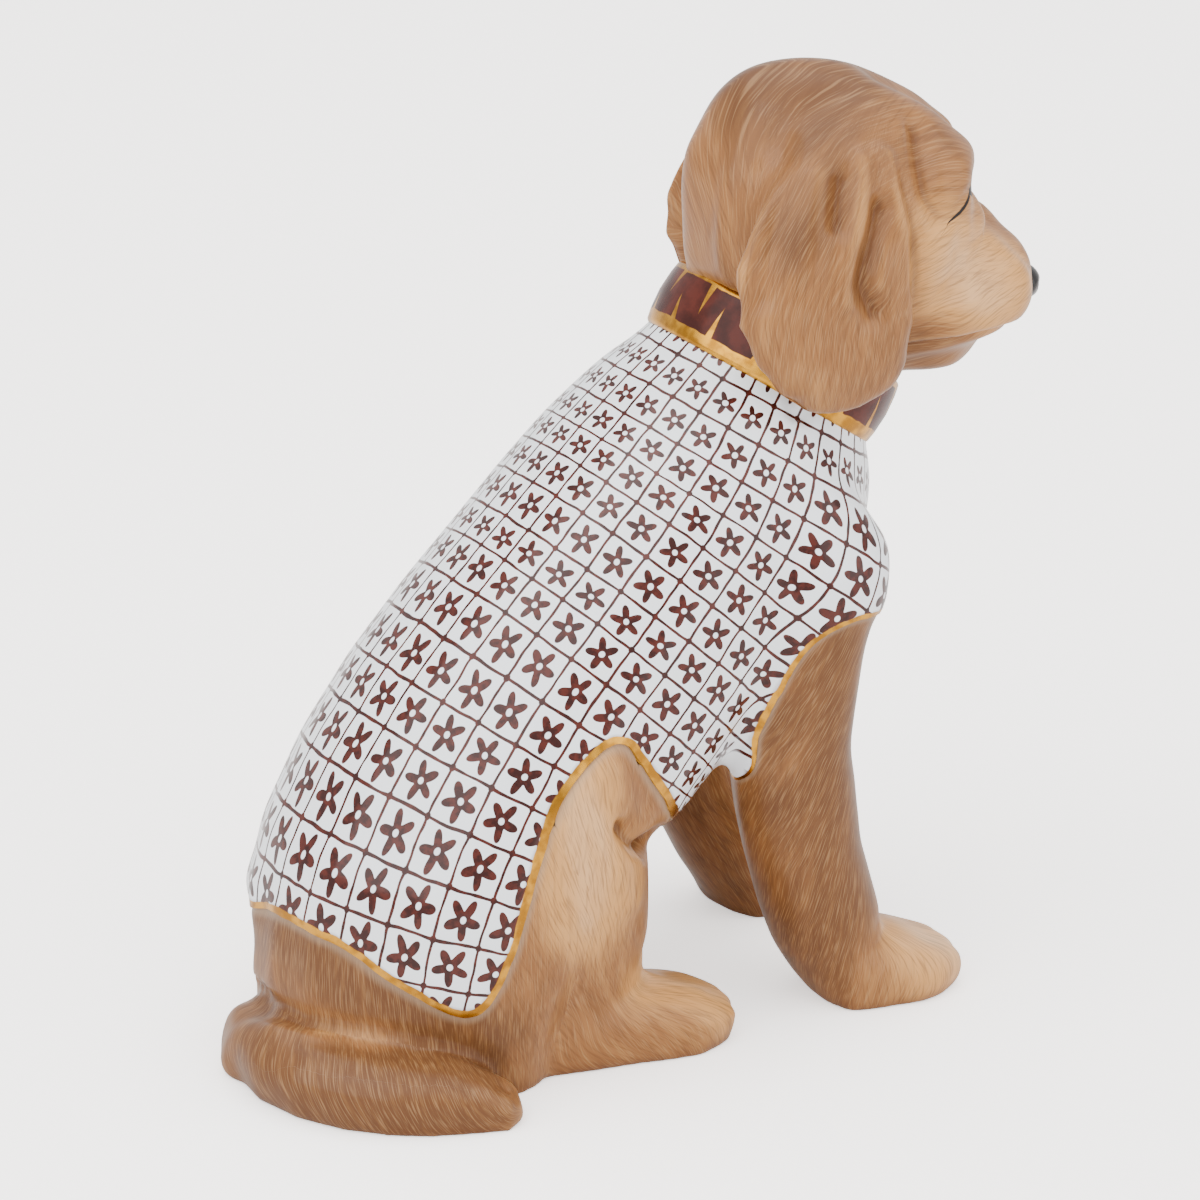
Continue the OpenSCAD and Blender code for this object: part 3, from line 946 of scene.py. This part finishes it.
    def _hem(self) -> np.ndarray:
        """Measure the coat from its edges on the legs and the rump.

        Returns:
            How far each point is inside the edge, counted faster at the sleeves, whose gold is thin.
        """
        clay = self.clay
        fur = clay.nearest(*LIMBS)
        hem = clay.blur(fur - clay.apart[Part.COAT], 2)
        fore = clay.nearest(Part.FORELEG_LEFT, Part.FORELEG_RIGHT)
        hind = clay.nearest(Part.RUMP, Part.HIND_LEG_LEFT, Part.HIND_LEG_RIGHT)
        hem *= 1 + self.sleeve_thinning * np.clip((hind - fore) / 3, 0, 1)
        hem[fur > clay.reach] = clay.far
        return hem

    def _blend(self) -> np.ndarray:
        """Find where head and ears take each other's strokes: half at the roots, all behind the ears.

        Returns:
            The other piece's share at each point, from 0 to 1.
        """
        clay = self.clay
        seam = clay.nearest(*EARS) - clay.apart[Part.HEAD]
        high = np.clip((clay.co[:, 2] - self.root_height) / 6, 0, 1)
        root = 0.5 * np.exp(-((seam / self.blend_width) ** 2)) * high
        spot = HEAD.local(clay.co)
        facing = (HEAD.local(clay.co + clay.normals()) - spot)[:, 0] * np.sign(spot[:, 0])
        behind = np.clip(0.4 - 2 * facing, 0, 1) * (seam < 0)
        return np.maximum(root, behind)

    def _charts(self, part: Part, points: np.ndarray) -> dict[str, np.ndarray]:
        """Chart the brush's way over one piece, and over the piece that its strokes blend with.

        Args:
            part: The piece.
            points: Its points, in mm.

        Returns:
            The piece's own chart and the other's, by name.
        """
        grains = self.grains()
        lay = grains[part].wrapped(points) if grains[part].wrap else grains[part].lay(points)
        beside = lay
        if part in EARS:
            beside = grains[Part.HEAD].wrapped(points)
        if part == Part.HEAD:
            right = HEAD.local(points)[:, :1] < 0
            ears = [grains[ear].wrapped(points) for ear in (Part.EAR_RIGHT, Part.EAR_LEFT)]
            beside = np.where(right, *ears)
        return {"lay": lay, "beside": beside}

    def _slit(self, bm: bmesh.types.BMesh, name: str) -> None:
        """Cut the skin along the line where one of its values is nought.

        Args:
            bm: The skin.
            name: The value, as a layer of its points.
        """
        layer = bm.verts.layers.float[name]
        home = bm.verts.layers.float_vector["home"]
        crossed = [f for f in bm.faces if min(v[layer] for v in f.verts) < 0 < max(v[layer] for v in f.verts)]
        verts = {v for f in crossed for v in f.verts}
        edges = {e for f in crossed for e in f.edges}
        for vert in verts:
            vert.co.z = vert[layer]
        geom = [*verts, *edges, *crossed]
        bmesh.ops.bisect_plane(bm, geom=geom, dist=1e-3, plane_co=(0, 0, 0), plane_no=(0, 0, 1))
        for vert in bm.verts:
            vert.co = vert[home]

    def _lift(self, bm: bmesh.types.BMesh, part: Part) -> bpy.types.Object:
        """Lift one piece off the parted skin and close it.

        Args:
            bm: The parted skin.
            part: The piece.

        Returns:
            The piece's object.
        """
        piece = bm.copy()
        layer = piece.verts.layers.float["in_" + part.value]
        hem = piece.verts.layers.float["hem"]
        out = piece.verts.layers.float_vector["out"]
        rest = [f for f in piece.faces if sum(v[layer] for v in f.verts) <= 0]
        bmesh.ops.delete(piece, geom=rest, context="FACES")
        for vert in piece.verts:
            rise = self.coat_rise
            if part != Part.COAT:
                rise = -self.fur_sink * math.exp(-((vert[hem] / self.sink_width) ** 2))
            vert.co += vert[out] * rise * MM
        self._close(piece)
        obj = add_piece(part.value + "_skin", piece)
        for name, values in self._charts(part, points_of(obj)).items():
            add_map(obj.data, name, values)
        normals = np.empty(len(obj.data.vertices) * 3, np.float32)
        obj.data.attributes["out"].data.foreach_get("vector", normals)
        obj.data.normals_split_custom_set_from_vertices([tuple(n) for n in normals.reshape(-1, 3)])
        return obj

    def _close(self, piece: bmesh.types.BMesh) -> None:
        """Turn a piece's open borders in by the wall and close them towards the middle of each.

        Args:
            piece: The open piece.
        """
        piece.normal_update()
        rim = [e for e in piece.edges if e.is_boundary]
        turned = bmesh.ops.extrude_edge_only(piece, edges=rim)["geom"]
        out = piece.verts.layers.float_vector["out"]
        for vert in (g for g in turned if isinstance(g, bmesh.types.BMVert)):
            vert.co -= Vector(vert[out]).normalized() * self.wall * MM
        loose = {e for e in turned if isinstance(e, bmesh.types.BMEdge) and e.is_boundary}
        while loose:
            loop, todo = [], [loose.pop()]
            while todo:
                edge = todo.pop()
                loop.append(edge)
                for vert in edge.verts:
                    for other in vert.link_edges:
                        if other in loose:
                            loose.discard(other)
                            todo.append(other)
            verts = {v for e in loop for v in e.verts}
            centre = sum((v.co for v in verts), Vector()) / len(verts)
            tip = bmesh.ops.extrude_edge_only(piece, edges=loop)["geom"]
            tips = [g for g in tip if isinstance(g, bmesh.types.BMVert)]
            bmesh.ops.pointmerge(piece, verts=tips, merge_co=centre)
        bmesh.ops.recalc_face_normals(piece, faces=piece.faces)


# Glazes and paints


def linear(colour: Colour) -> tuple[float, float, float, float]:
    """Give a colour of 0 to 255 as the shader's own numbers."""
    return (*[((c / 255 + 0.055) / 1.055) ** 2.4 if c > 10 else c / 3295 for c in colour], 1.0)


@dataclass(frozen=True)
class Value:
    """A number that a glaze works out at each point, with the arithmetic that adds Math nodes."""

    recipe: "Recipe"
    socket: bpy.types.NodeSocket

    def __add__(self, other: "Value | float") -> "Value":
        """Add."""
        return self.recipe.math("ADD", self, other)

    __radd__ = __add__

    def __sub__(self, other: "Value | float") -> "Value":
        """Take away."""
        return self.recipe.math("SUBTRACT", self, other)

    def __rsub__(self, other: float) -> "Value":
        """Take this away from a number."""
        return self.recipe.math("SUBTRACT", other, self)

    def __mul__(self, other: "Value | float") -> "Value":
        """Multiply."""
        return self.recipe.math("MULTIPLY", self, other)

    __rmul__ = __mul__

    def __truediv__(self, other: "Value | float") -> "Value":
        """Divide."""
        return self.recipe.math("DIVIDE", self, other)

    def __abs__(self) -> "Value":
        """Give the size without the sign."""
        return self.recipe.math("ABSOLUTE", self)

    def least(self, other: "Value | float") -> "Value":
        """Give the smaller of two."""
        return self.recipe.math("MINIMUM", self, other)

    def most(self, other: "Value | float") -> "Value":
        """Give the larger of two."""
        return self.recipe.math("MAXIMUM", self, other)

    def whole(self) -> "Value":
        """Give the whole number below."""
        return self.recipe.math("FLOOR", self)

    def cosine(self) -> "Value":
        """Give the cosine of an angle in radians."""
        return self.recipe.math("COSINE", self)

    def band(self, low: float, high: float) -> "Value":
        """Rise softly from 0 at low to 1 at high, or fall if high is below low."""
        node = self.recipe.node("ShaderNodeMapRange", {"interpolation_type": "SMOOTHSTEP"},
                                {0: self, 1: low, 2: high, 3: 0.0, 4: 1.0})
        return Value(self.recipe, node.outputs[0])


@dataclass
class Recipe:
    """A material's nodes, from the maps that it reads to the shader that it ends in."""

    name: str
    material: bpy.types.Material = field(init=False)
    shader: bpy.types.Node = field(init=False)

    def __post_init__(self) -> None:
        """Start the material with its shader and output."""
        self.material = bpy.data.materials.new(self.name)
        self.material.use_nodes = True
        self.material.node_tree.nodes.clear()
        self.shader = self.node("ShaderNodeBsdfPrincipled")
        self.node("ShaderNodeOutputMaterial", {}, {"Surface": self.shader.outputs[0]})

    def node(self, kind: str, settings: dict | None = None, inputs: dict | None = None) -> bpy.types.Node:
        """Make any node.

        Args:
            kind: The node's type.
            settings: Its own settings, set first.
            inputs: Values or links of its sockets, by name or number.

        Returns:
            The new node.
        """
        node = self.material.node_tree.nodes.new(kind)
        for key, value in (settings or {}).items():
            setattr(node, key, value)
        for key, value in (inputs or {}).items():
            self.feed(node.inputs[key], value)
        return node

    def feed(self, socket: bpy.types.NodeSocket, value: object) -> None:
        """Link a value or a socket to a socket, or set a plain number or colour on it.

        Args:
            socket: The socket that is fed.
            value: What feeds it.
        """
        if isinstance(value, Value):
            value = value.socket
        if isinstance(value, bpy.types.NodeSocket):
            self.material.node_tree.links.new(value, socket)
        else:
            socket.default_value = value

    def math(self, operation: str, *values: "Value | float") -> Value:
        """Work out one sum of values and numbers."""
        node = self.node("ShaderNodeMath", {"operation": operation}, dict(enumerate(values)))
        return Value(self, node.outputs[0])

    def diagonal(self, across: Value, up: Value) -> Value:
        """Give the length of the diagonal over two sides."""
        return self.math("SQRT", across * across + up * up)

    def angle(self, rise: Value, run: Value) -> Value:
        """Give the angle of a slope, in radians."""
        return self.math("ARCTAN2", rise, run)

    def attribute(self, name: str) -> bpy.types.Node:
        """Read one of the piece's own maps."""
        return self.node("ShaderNodeAttribute", {"attribute_name": name})

    def number(self, name: str) -> Value:
        """Read a map of numbers."""
        return Value(self, self.attribute(name).outputs["Fac"])

    def vector(self, name: str) -> bpy.types.NodeSocket:
        """Read a map of vectors."""
        return self.attribute(name).outputs["Vector"]

    def place(self) -> bpy.types.NodeSocket:
        """Give the place on the object, in mm."""
        return self.stretch(self.node("ShaderNodeTexCoord").outputs["Object"], (1 / MM, 1 / MM, 1 / MM))

    def split(self, vector: bpy.types.NodeSocket) -> tuple[Value, Value, Value]:
        """Take a vector apart into its three numbers."""
        node = self.node("ShaderNodeSeparateXYZ", {}, {0: vector})
        return tuple(Value(self, out) for out in node.outputs)

    def join(self, *values: "Value | float") -> bpy.types.NodeSocket:
        """Make a vector of three numbers."""
        return self.node("ShaderNodeCombineXYZ", {}, dict(enumerate(values))).outputs[0]

    def stretch(self, vector: bpy.types.NodeSocket, by: Point) -> bpy.types.NodeSocket:
        """Scale a vector along its three axes."""
        return self.node("ShaderNodeVectorMath", {"operation": "MULTIPLY"}, {0: vector, 1: by}).outputs[0]

    def shift(self, vector: bpy.types.NodeSocket, by: bpy.types.NodeSocket | Point) -> bpy.types.NodeSocket:
        """Add one vector to another."""
        return self.node("ShaderNodeVectorMath", {"operation": "ADD"}, {0: vector, 1: by}).outputs[0]

    def turned(self, vector: bpy.types.NodeSocket, degrees: float) -> bpy.types.NodeSocket:
        """Turn a vector about its third axis."""
        angle = (0, 0, math.radians(degrees))
        return self.node("ShaderNodeMapping", {}, {"Vector": vector, "Rotation": angle}).outputs[0]

    def noise(self, vector: bpy.types.NodeSocket, detail: float = 2.0, rough: float = 0.5) -> bpy.types.Node:
        """Make soft noise with features about one unit across."""
        inputs = {"Vector": vector, "Scale": 1.0, "Detail": detail, "Roughness": rough}
        return self.node("ShaderNodeTexNoise", {}, inputs)

    def cloud(self, vector: bpy.types.NodeSocket, detail: float = 2.0, rough: float = 0.5) -> Value:
        """Give soft noise as a number about one half."""
        return Value(self, self.noise(vector, detail, rough).outputs[0])

    def mottle(self, place: bpy.types.NodeSocket, scale: float, detail: float = 2.0) -> Value:
        """Give soft noise over the object, alike in every direction."""
        return self.cloud(self.stretch(place, (scale, scale, scale)), detail)

    def sway(self, vector: bpy.types.NodeSocket, by: Point) -> bpy.types.NodeSocket:
        """Give a vector that wanders by so much to either side."""
        wander = self.shift(self.noise(vector, 1.0).outputs[1], (-0.5, -0.5, -0.5))
        return self.stretch(wander, tuple(2 * b for b in by))

    def chance(self, vector: bpy.types.NodeSocket) -> Value:
        """Give one even chance from 0 to 1 for each whole place."""
        return Value(self, self.node("ShaderNodeTexWhiteNoise", {}, {"Vector": vector}).outputs["Value"])

    def mix(self, share: "Value | float", under: object, over: object) -> bpy.types.NodeSocket:
        """Lay one colour over another.

        Args:
            share: How much of the upper colour shows.
            under: A colour of 0 to 255, or a colour socket.
            over: The same.

        Returns:
            The mixed colour.
        """
        colours = [linear(c) if isinstance(c, tuple) else c for c in (under, over)]
        node = self.node("ShaderNodeMix", {"data_type": "RGBA"}, {0: share, 6: colours[0], 7: colours[1]})
        return node.outputs[2]

    def finish(self, **sockets: object) -> bpy.types.Material:
        """Feed the shader.

        Args:
            sockets: What feeds its sockets, which are named with underscores.

        Returns:
            The finished material.
        """
        for key, value in sockets.items():
            self.feed(self.shader.inputs[key.replace("_", " ")], value)
        return self.material


@dataclass(frozen=True)
class Gold:
    """Burnished gold, laid on with a brush."""

    bright: Colour = (214, 154, 50)
    dull: Colour = (166, 112, 30)
    rough: float = 0.26

    def colour(self, recipe: Recipe, place: bpy.types.NodeSocket) -> bpy.types.NodeSocket:
        """Give the gold's colour, thin and thick by turns."""
        thick = recipe.mottle(place, 0.6).band(0.35, 0.65)
        return recipe.mix(thick, self.dull, self.bright)


GOLD = Gold()


@dataclass(frozen=True)
class EyePaint:
    """A dark eye with a spark of light in it, under a thin lid line that runs on past its outer corner."""

    black: Colour = (24, 19, 18)
    iris: Colour = (70, 40, 22)
    shine: Colour = (245, 245, 245)
    half_width: float = 2.6
    top: float = 1.6
    low: float = 1.2
    pupil_up: float = 0.25
    pupil_edge: tuple[float, float] = (1.0, 1.25)
    iris_edge: tuple[float, float] = (1.45, 1.7)
    spark_in: float = 0.7
    spark_up: float = 0.9
    spark_edge: tuple[float, float] = (0.42, 0.3)
    ball_edge: tuple[float, float] = (0.0, 0.12)
    lid_fall: float = 0.5
    lid_start: float = 0.6
    lid_end: tuple[float, float] = (7.2, 4.6)
    lid_edge: tuple[float, float] = (0.17, 0.08)

    def over(self, recipe: Recipe, colour: bpy.types.NodeSocket) -> bpy.types.NodeSocket:
        """Paint the eyes and their lids over the fur.

        Args:
            recipe: The glaze.
            colour: The fur's colour.

        Returns:
            The colour with the eyes on it.
        """
        out, up, _ = recipe.split(recipe.vector("eye"))
        arch = 1 - out * out / self.half_width**2
        inside = (arch * self.top - up).least(up + arch * self.low)
        pupil = recipe.diagonal(out, up - self.pupil_up)
        spark = recipe.diagonal(out + self.spark_in, up - self.spark_up)
        ball = recipe.mix(pupil.band(*self.pupil_edge), self.black, self.iris)
        ball = recipe.mix(pupil.band(*self.iris_edge), ball, self.black)
        ball = recipe.mix(spark.band(*self.spark_edge), ball, self.shine)
        colour = recipe.mix(inside.band(*self.ball_edge), colour, ball)
        within = out.least(self.half_width)
        slope = within * (2 * self.top / self.half_width**2)
        brim = (1 - within * within / self.half_width**2) * self.top - (out - within) * self.lid_fall
        lid = abs(up - brim) / recipe.math("SQRT", 1 + slope * slope)
        ends = out.band(-self.half_width, -self.half_width + self.lid_start) * out.band(*self.lid_end)
        return recipe.mix((lid / (ends + 0.05)).band(*self.lid_edge), colour, self.black)


@dataclass(frozen=True)
class FurGlaze:
    """Tan fur in fine brush strokes under a clear glaze, with eyes where it covers the face."""

    base: Colour = (140, 93, 54)
    # light is also the colour of the painted highlight along ridges and bulges
    light: Colour = (206, 150, 88)
    # bright paints the palest fur on muzzle, thigh and feet: partly the fur's own paint, partly painted light
    bright: Colour = (228, 184, 138)
    pale: Colour = (206, 162, 112)
    dark: Colour = (95, 60, 35)
    foot: Colour = (104, 61, 30)
    # colour of the painted shade in hollows and folds
    crease_shade: Colour = (86, 48, 20)
    haze: Colour = (166, 142, 116)
    cross: float = 10.0

    def make(self, name: str, face: bool = False) -> bpy.types.Material:
        """Mix the glaze.

        Args:
            name: The material's name.
            face: Whether it has the eyes.

        Returns:
            The material.
        """
        recipe = Recipe(name)
        place = recipe.place()
        drift = recipe.sway(recipe.stretch(place, (0.12, 0.12, 0.12)), (0.8, 0.5, 0))
        blend = recipe.number("blend")
        charts = [recipe.shift(recipe.vector(chart), drift) for chart in ("lay", "beside")]
        own, other = (self._brush(recipe, chart) for chart in charts)
        broad, streak, fine, hair = (a + (b - a) * blend for a, b in zip(own, other))
        tone = recipe.mottle(place, 0.1)
        hollow = recipe.number("hollow")
        wash_and_shading = recipe.number("wash_and_shading") + (broad - 0.5) * 1.6 + (tone - 0.5) * 1.4
        height = recipe.split(place)[2]
        hem = recipe.number("hem")
        coats = (
            # dark, light and bright layers: partly the fur's own paint, partly painted shade and painted
            # highlights
            (wash_and_shading.band(0.2, -1.1), 0.9, self.dark),
            (wash_and_shading.band(0.0, 1.4), 0.9, self.light),
            (wash_and_shading.band(1.2, 3.0), 0.7, self.bright),
            # painted shade in hollows and folds
            (hollow.band(0.012, 0.08), 0.7, self.crease_shade),
            # painted highlight along ridges and bulges
            (hollow.band(-0.03, -0.1), 0.5, self.light),
            ((height + broad * 2).band(3.0, 0.8), 0.6, self.foot),
            (streak.band(0.5, 0.68), 0.1, self.light),
            (streak.band(0.5, 0.32), 0.22, self.dark),
            (fine.band(0.48, 0.66), 0.42, self.dark),
            (hair.band(0.48, 0.7), 0.23, self.pale),
            (hem.band(-1.6, -0.1) * hem.band(1.0, 0.5), 0.6, self.haze),
        )
        colour = self.base
        for share, strength, paint in coats:
            colour = recipe.mix(share * strength, colour, paint)
        if face:
            colour = EyePaint().over(recipe, colour)
        return recipe.finish(Base_Color=colour, Roughness=0.34, Specular_IOR_Level=0.18, Coat_Weight=0.05,
                             Coat_Roughness=0.12)

    def _brush(self, recipe: Recipe, lay: bpy.types.NodeSocket) -> tuple[Value, Value, Value, Value]:
        """Draw broad, plain, fine and hair-fine strokes, some of them across the others.

        Args:
            recipe: The glaze.
            lay: The chart that the strokes follow.

        Returns:
            The four kinds of strokes, each a number about one half.
        """
        one_way = recipe.turned(lay, self.cross)
        other_way = recipe.turned(lay, -self.cross)
        return (
            recipe.cloud(recipe.stretch(lay, (0.08, 0.35, 1))),
            recipe.cloud(recipe.stretch(one_way, (0.2, 2.0, 1)), 2),
            recipe.cloud(recipe.stretch(other_way, (0.28, 4.8, 1)), 2),
            recipe.cloud(recipe.stretch(one_way, (0.36, 8.0, 1)), 1),
        )


@dataclass(frozen=True)
class CoatGlaze:
    """White glaze with a fine brown check of small blossoms, and gold along the hems."""

    white: Colour = (240, 244, 248)
    wash_and_shading: Colour = (80, 31, 23)
    brown: Colour = (50, 18, 14)
    columns: int = 28
    row: float = 4.6
    line: float = 0.15
    petal: float = 1.85
    petals: float = 5.0
    knot: float = 0.36
    hem: float = 0.9
    rough: float = 0.16

    def make(self) -> bpy.types.Material:
        """Mix the glaze.

        Returns:
            The material.
        """
        recipe = Recipe("coat_glaze")
        place = recipe.place()
        thick = recipe.mottle(place, 1.1, 3).band(0.36, 0.62)
        paint = recipe.mix(thick, self.wash_and_shading, self.brown)
        bare = 1 - recipe.number("plain").band(0.4, 0.8)
        colour = recipe.mix(self._check(recipe, place) * bare, self.white, paint)
        hem = recipe.number("hem") + (recipe.mottle(place, 0.35) - 0.5) * 0.4
        hem = hem + recipe.number("hollow").most(0.0) * 4.0
        gold = hem.band(self.hem + 0.05, self.hem - 0.05)
        shade = hem.band(self.hem + 0.35, self.hem) * 0.35
        colour = recipe.mix(shade, colour, self.wash_and_shading)
        colour = recipe.mix(gold, colour, GOLD.colour(recipe, place))
        rough = gold * (GOLD.rough - self.rough) + self.rough
        return recipe.finish(Base_Color=colour, Metallic=gold, Roughness=rough, Specular_IOR_Level=0.28,
                             Coat_Weight=0.1, Coat_Roughness=0.04)

    def _check(self, recipe: Recipe, place: bpy.types.NodeSocket) -> Value:
        """Draw the check, with knots where its lines cross and a blossom in each cell.

        Args:
            recipe: The glaze.
            place: The place on the object, in mm.

        Returns:
            The drawing's share at each point.
        """
        drift = recipe.sway(recipe.stretch(place, (0.3, 0.3, 0.3)), (0.22, 0.22, 0.22))
        along, beside, above = recipe.split(recipe.shift(recipe.vector("lay"), drift))
        across = recipe.angle(beside, above) * (self.columns / math.tau)
        down = along * (1 / self.row)
        width = recipe.diagonal(beside, above) * (math.tau / self.columns)
        x = across - across.whole() - 0.5
        y = down - down.whole() - 0.5
        side_gap = (0.5 - abs(x)) * width
        end_gap = (0.5 - abs(y)) * self.row
        brush = recipe.mottle(place, 0.5) + 0.5
        lines = (side_gap.least(end_gap) / brush).band(self.line + 0.03, self.line - 0.02)
        knots = recipe.diagonal(side_gap, end_gap).band(self.knot + 0.05, self.knot - 0.05)
        turn = recipe.chance(recipe.join(across.whole(), down.whole(), 0.0)) * 0.7
        petal = width * (self.petal / self.row)
        return self._blossom(recipe, x * width, y * self.row, petal, turn).most(lines.most(knots))

    def _blossom(self, recipe: Recipe, across: Value, along: Value, petal: Value, turn: Value) -> Value:
        """Draw a blossom with an open middle.

        Args:
            recipe: The glaze.
            across: How far a point is from the blossom's middle, round the body.
            along: The same down the body.
            petal: The length of its petals.
            turn: How far it is turned, in radians.

        Returns:
            The blossom's share at each point.
        """
        far = recipe.diagonal(across, along)
        spin = recipe.angle(along, across) * self.petals + turn * self.petals
        rim = (spin.cosine() * 0.3 + 0.7) * petal
        return (rim - far).band(-0.04, 0.05) * far.band(0.28, 0.38)


@dataclass(frozen=True)
class CollarGlaze:
    """Rust-brown glaze with gold edges and tapered gold strokes."""

    brown: Colour = (82, 35, 27)
    deep: Colour = (55, 22, 17)
    width: float = Collar.width
    low_band: float = 1.35
    high_band: float = 0.9
    strokes: int = 15
    stroke_width: float = 0.42
    radius: float = 14.2

    def make(self) -> bpy.types.Material:
        """Mix the glaze.

        Returns:
            The material.
        """
        recipe = Recipe("collar_glaze")
        place = recipe.place()
        rise, across, ahead = recipe.split(recipe.vector("lay"))
        waver = (recipe.mottle(place, 0.4) - 0.5) * 0.5
        low = rise + waver
        high = self.width - rise + waver
        turn = recipe.angle(across, ahead) * (self.strokes / math.tau)
        gold = low.band(self.low_band + 0.06, self.low_band - 0.06)
        gold = gold.most(high.band(self.high_band + 0.06, self.high_band - 0.06))
        for reach, gap, offset in ((high, self.high_band, 0.0), (low, self.low_band, 0.45)):
            gold = gold.most(self._strokes(recipe, reach - gap, turn + offset))
        brush = recipe.mottle(place, 0.35, 3).band(0.35, 0.65)
        colour = recipe.mix(brush, self.deep, self.brown)
        colour = recipe.mix(gold, colour, GOLD.colour(recipe, place))
        return recipe.finish(Base_Color=colour, Metallic=gold, Roughness=GOLD.rough, Specular_IOR_Level=0.16,
                             Coat_Weight=0.04, Coat_Roughness=0.08)

    def _strokes(self, recipe: Recipe, reach: Value, turn: Value) -> Value:
        """Draw one row of tapered strokes away from an edge.

        Args:
            recipe: The glaze.
            reach: How far a point is from the edge, in mm.
            turn: How far it is round the neck, in strokes.

        Returns:
            The strokes' share at each point.
        """
        place = recipe.join(turn.whole(), 0.0, 3.0)
        length = recipe.chance(place) * 2.2 + 1.6
        pitch = math.tau * self.radius / self.strokes
        lean = recipe.chance(recipe.shift(place, (0, 7, 0))) * 0.5 - 0.35
        gap = abs((turn - turn.whole() - 0.5) * pitch + lean * reach)
        edge = (1 - reach / length) * self.stroke_width
        return (edge - gap).band(-0.05, 0.05) * reach.band(-0.3, 0.0)


@dataclass(frozen=True)
class NoseGlaze:
    """Black gloss, a little brown where it is thin."""

    black: Colour = (20, 17, 18)
    thin: Colour = (52, 38, 34)

    def make(self) -> bpy.types.Material:
        """Mix the glaze.

        Returns:
            The material.
        """
        recipe = Recipe("nose_glaze")
        thin = recipe.mottle(recipe.place(), 0.8).band(0.5, 0.75)
        colour = recipe.mix(thin, self.black, self.thin)
        return recipe.finish(Base_Color=colour, Roughness=0.22, Specular_IOR_Level=0.3,
                             Coat_Weight=0.25, Coat_Roughness=0.05)


# Studio


@dataclass
class Studio:
    """The pale floor, the soft lights and the camera of the photograph."""

    target: Point = (0, -20.5, 47.4)
    azimuth: float = -121.5
    elevation: float = 22.0
    distance: float = 0.7
    lens: float = 189.0
    floor: Colour = (236, 233, 231)
    sky: float = 1.1
    sky_seen: float = 4.0
    floor_gain: float = 1.7
    floor_glow: float = 1.1

    def aim(self, obj: bpy.types.Object) -> None:
        """Turn a light or camera to the middle of the puppy."""
        obj.rotation_euler = (Vector(self.target) * MM - obj.location).to_track_quat("-Z", "Y").to_euler()
        bpy.context.scene.collection.objects.link(obj)

    def light(self, name: str, place: Point, size: float, power: float) -> None:
        """Hang one soft box.

        Args:
            name: The light's name.
            place: Where it hangs, in metres.
            size: The length of its sides, in metres.
            power: Its power, in watts.
        """
        lamp = bpy.data.lights.new(name, "AREA")
        lamp.size = size
        lamp.energy = power
        obj = bpy.data.objects.new(name, lamp)
        obj.location = place
        self.aim(obj)

    def build(self) -> None:
        """Set the studio up."""
        a, e = math.radians(self.azimuth), math.radians(self.elevation)
        camera = bpy.data.objects.new("camera", bpy.data.cameras.new("camera"))
        camera.data.lens = self.lens
        way = Vector((math.sin(a) * math.cos(e), -math.cos(a) * math.cos(e), math.sin(e)))
        camera.location = Vector(self.target) * MM + self.distance * way
        self.aim(camera)
        bpy.context.scene.camera = camera
        self.light("key", (-0.25, 0.75, 0.75), 1.3, 13)
        self.light("fill", (-0.75, -0.45, 0.5), 1.1, 6)
        self.light("top", (0.1, -0.1, 1.1), 1.4, 11)
        self.sky_dome()
        self.ground()

    def sky_dome(self) -> None:
        """Light the studio evenly from all round, with a pale backdrop where it shows."""
        world = bpy.data.worlds.new("studio")
        world.use_nodes = True
        nodes, links = world.node_tree.nodes, world.node_tree.links
        seen = nodes.new("ShaderNodeLightPath").outputs["Is Camera Ray"]
        mix = nodes.new("ShaderNodeMix")
        mix.data_type = "RGBA"
        mix.inputs[6].default_value = (self.sky, self.sky, self.sky, 1)
        mix.inputs[7].default_value = (self.sky_seen, self.sky_seen, self.sky_seen, 1)
        links.new(seen, mix.inputs[0])
        links.new(mix.outputs[2], nodes["Background"].inputs["Color"])
        bpy.context.scene.world = world

    def ground(self) -> None:
        """Lay the pale floor, which shows brighter than it lights the puppy."""
        bm = bmesh.new()
        bmesh.ops.create_grid(bm, x_segments=1, y_segments=1, size=3.0)
        ground = add_piece("floor", bm)
        recipe = Recipe("floor_paper")
        seen = Value(recipe, recipe.node("ShaderNodeLightPath").outputs["Is Camera Ray"])
        grain = recipe.mottle(recipe.place(), 0.9, 4)
        paper = recipe.mix(grain, tuple(c - 8 for c in self.floor), self.floor)
        gain = seen * (self.floor_gain - 1) + 1
        bright = recipe.node("ShaderNodeVectorMath", {"operation": "SCALE"}, {0: paper, "Scale": gain})
        glow = recipe.mix(seen, (0, 0, 0), self.floor)
        floor = recipe.finish(Base_Color=bright.outputs[0], Roughness=0.8, Specular_IOR_Level=0.2,
                              Emission_Color=glow, Emission_Strength=self.floor_glow)
        ground.data.materials.append(floor)


def dress(piece: bpy.types.Object, node: str, glaze: bpy.types.Material) -> None:
    """Dress a piece, put it on the body in its casting's stead and report it.

    Args:
        piece: The piece.
        node: The casting that it stands for.
        glaze: Its material.
    """
    piece.data.materials.clear()
    piece.data.materials.append(glaze)
    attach(piece, "root")
    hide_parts(node)
    LOG.info("%s: %d faces", piece.name, len(piece.data.polygons))


def main() -> None:
    """Build the puppy and its studio and report each piece."""
    logging.basicConfig(level=logging.INFO, format="%(name)s: %(message)s")
    Studio().build()
    fur = FurGlaze().make("fur_glaze")
    face = FurGlaze().make("face_glaze", face=True)
    glazes = {Part.COAT: CoatGlaze().make(), Part.HEAD: face}
    figure = Figure()
    figure.model()
    for part, piece in figure.part().items():
        dress(piece, part.value, glazes.get(part, fur))
    dress(Collar().build(), "collar", CollarGlaze().make())
    dress(Nose().build(), "nose", NoseGlaze().make())


if __name__ == "__main__":
    main()
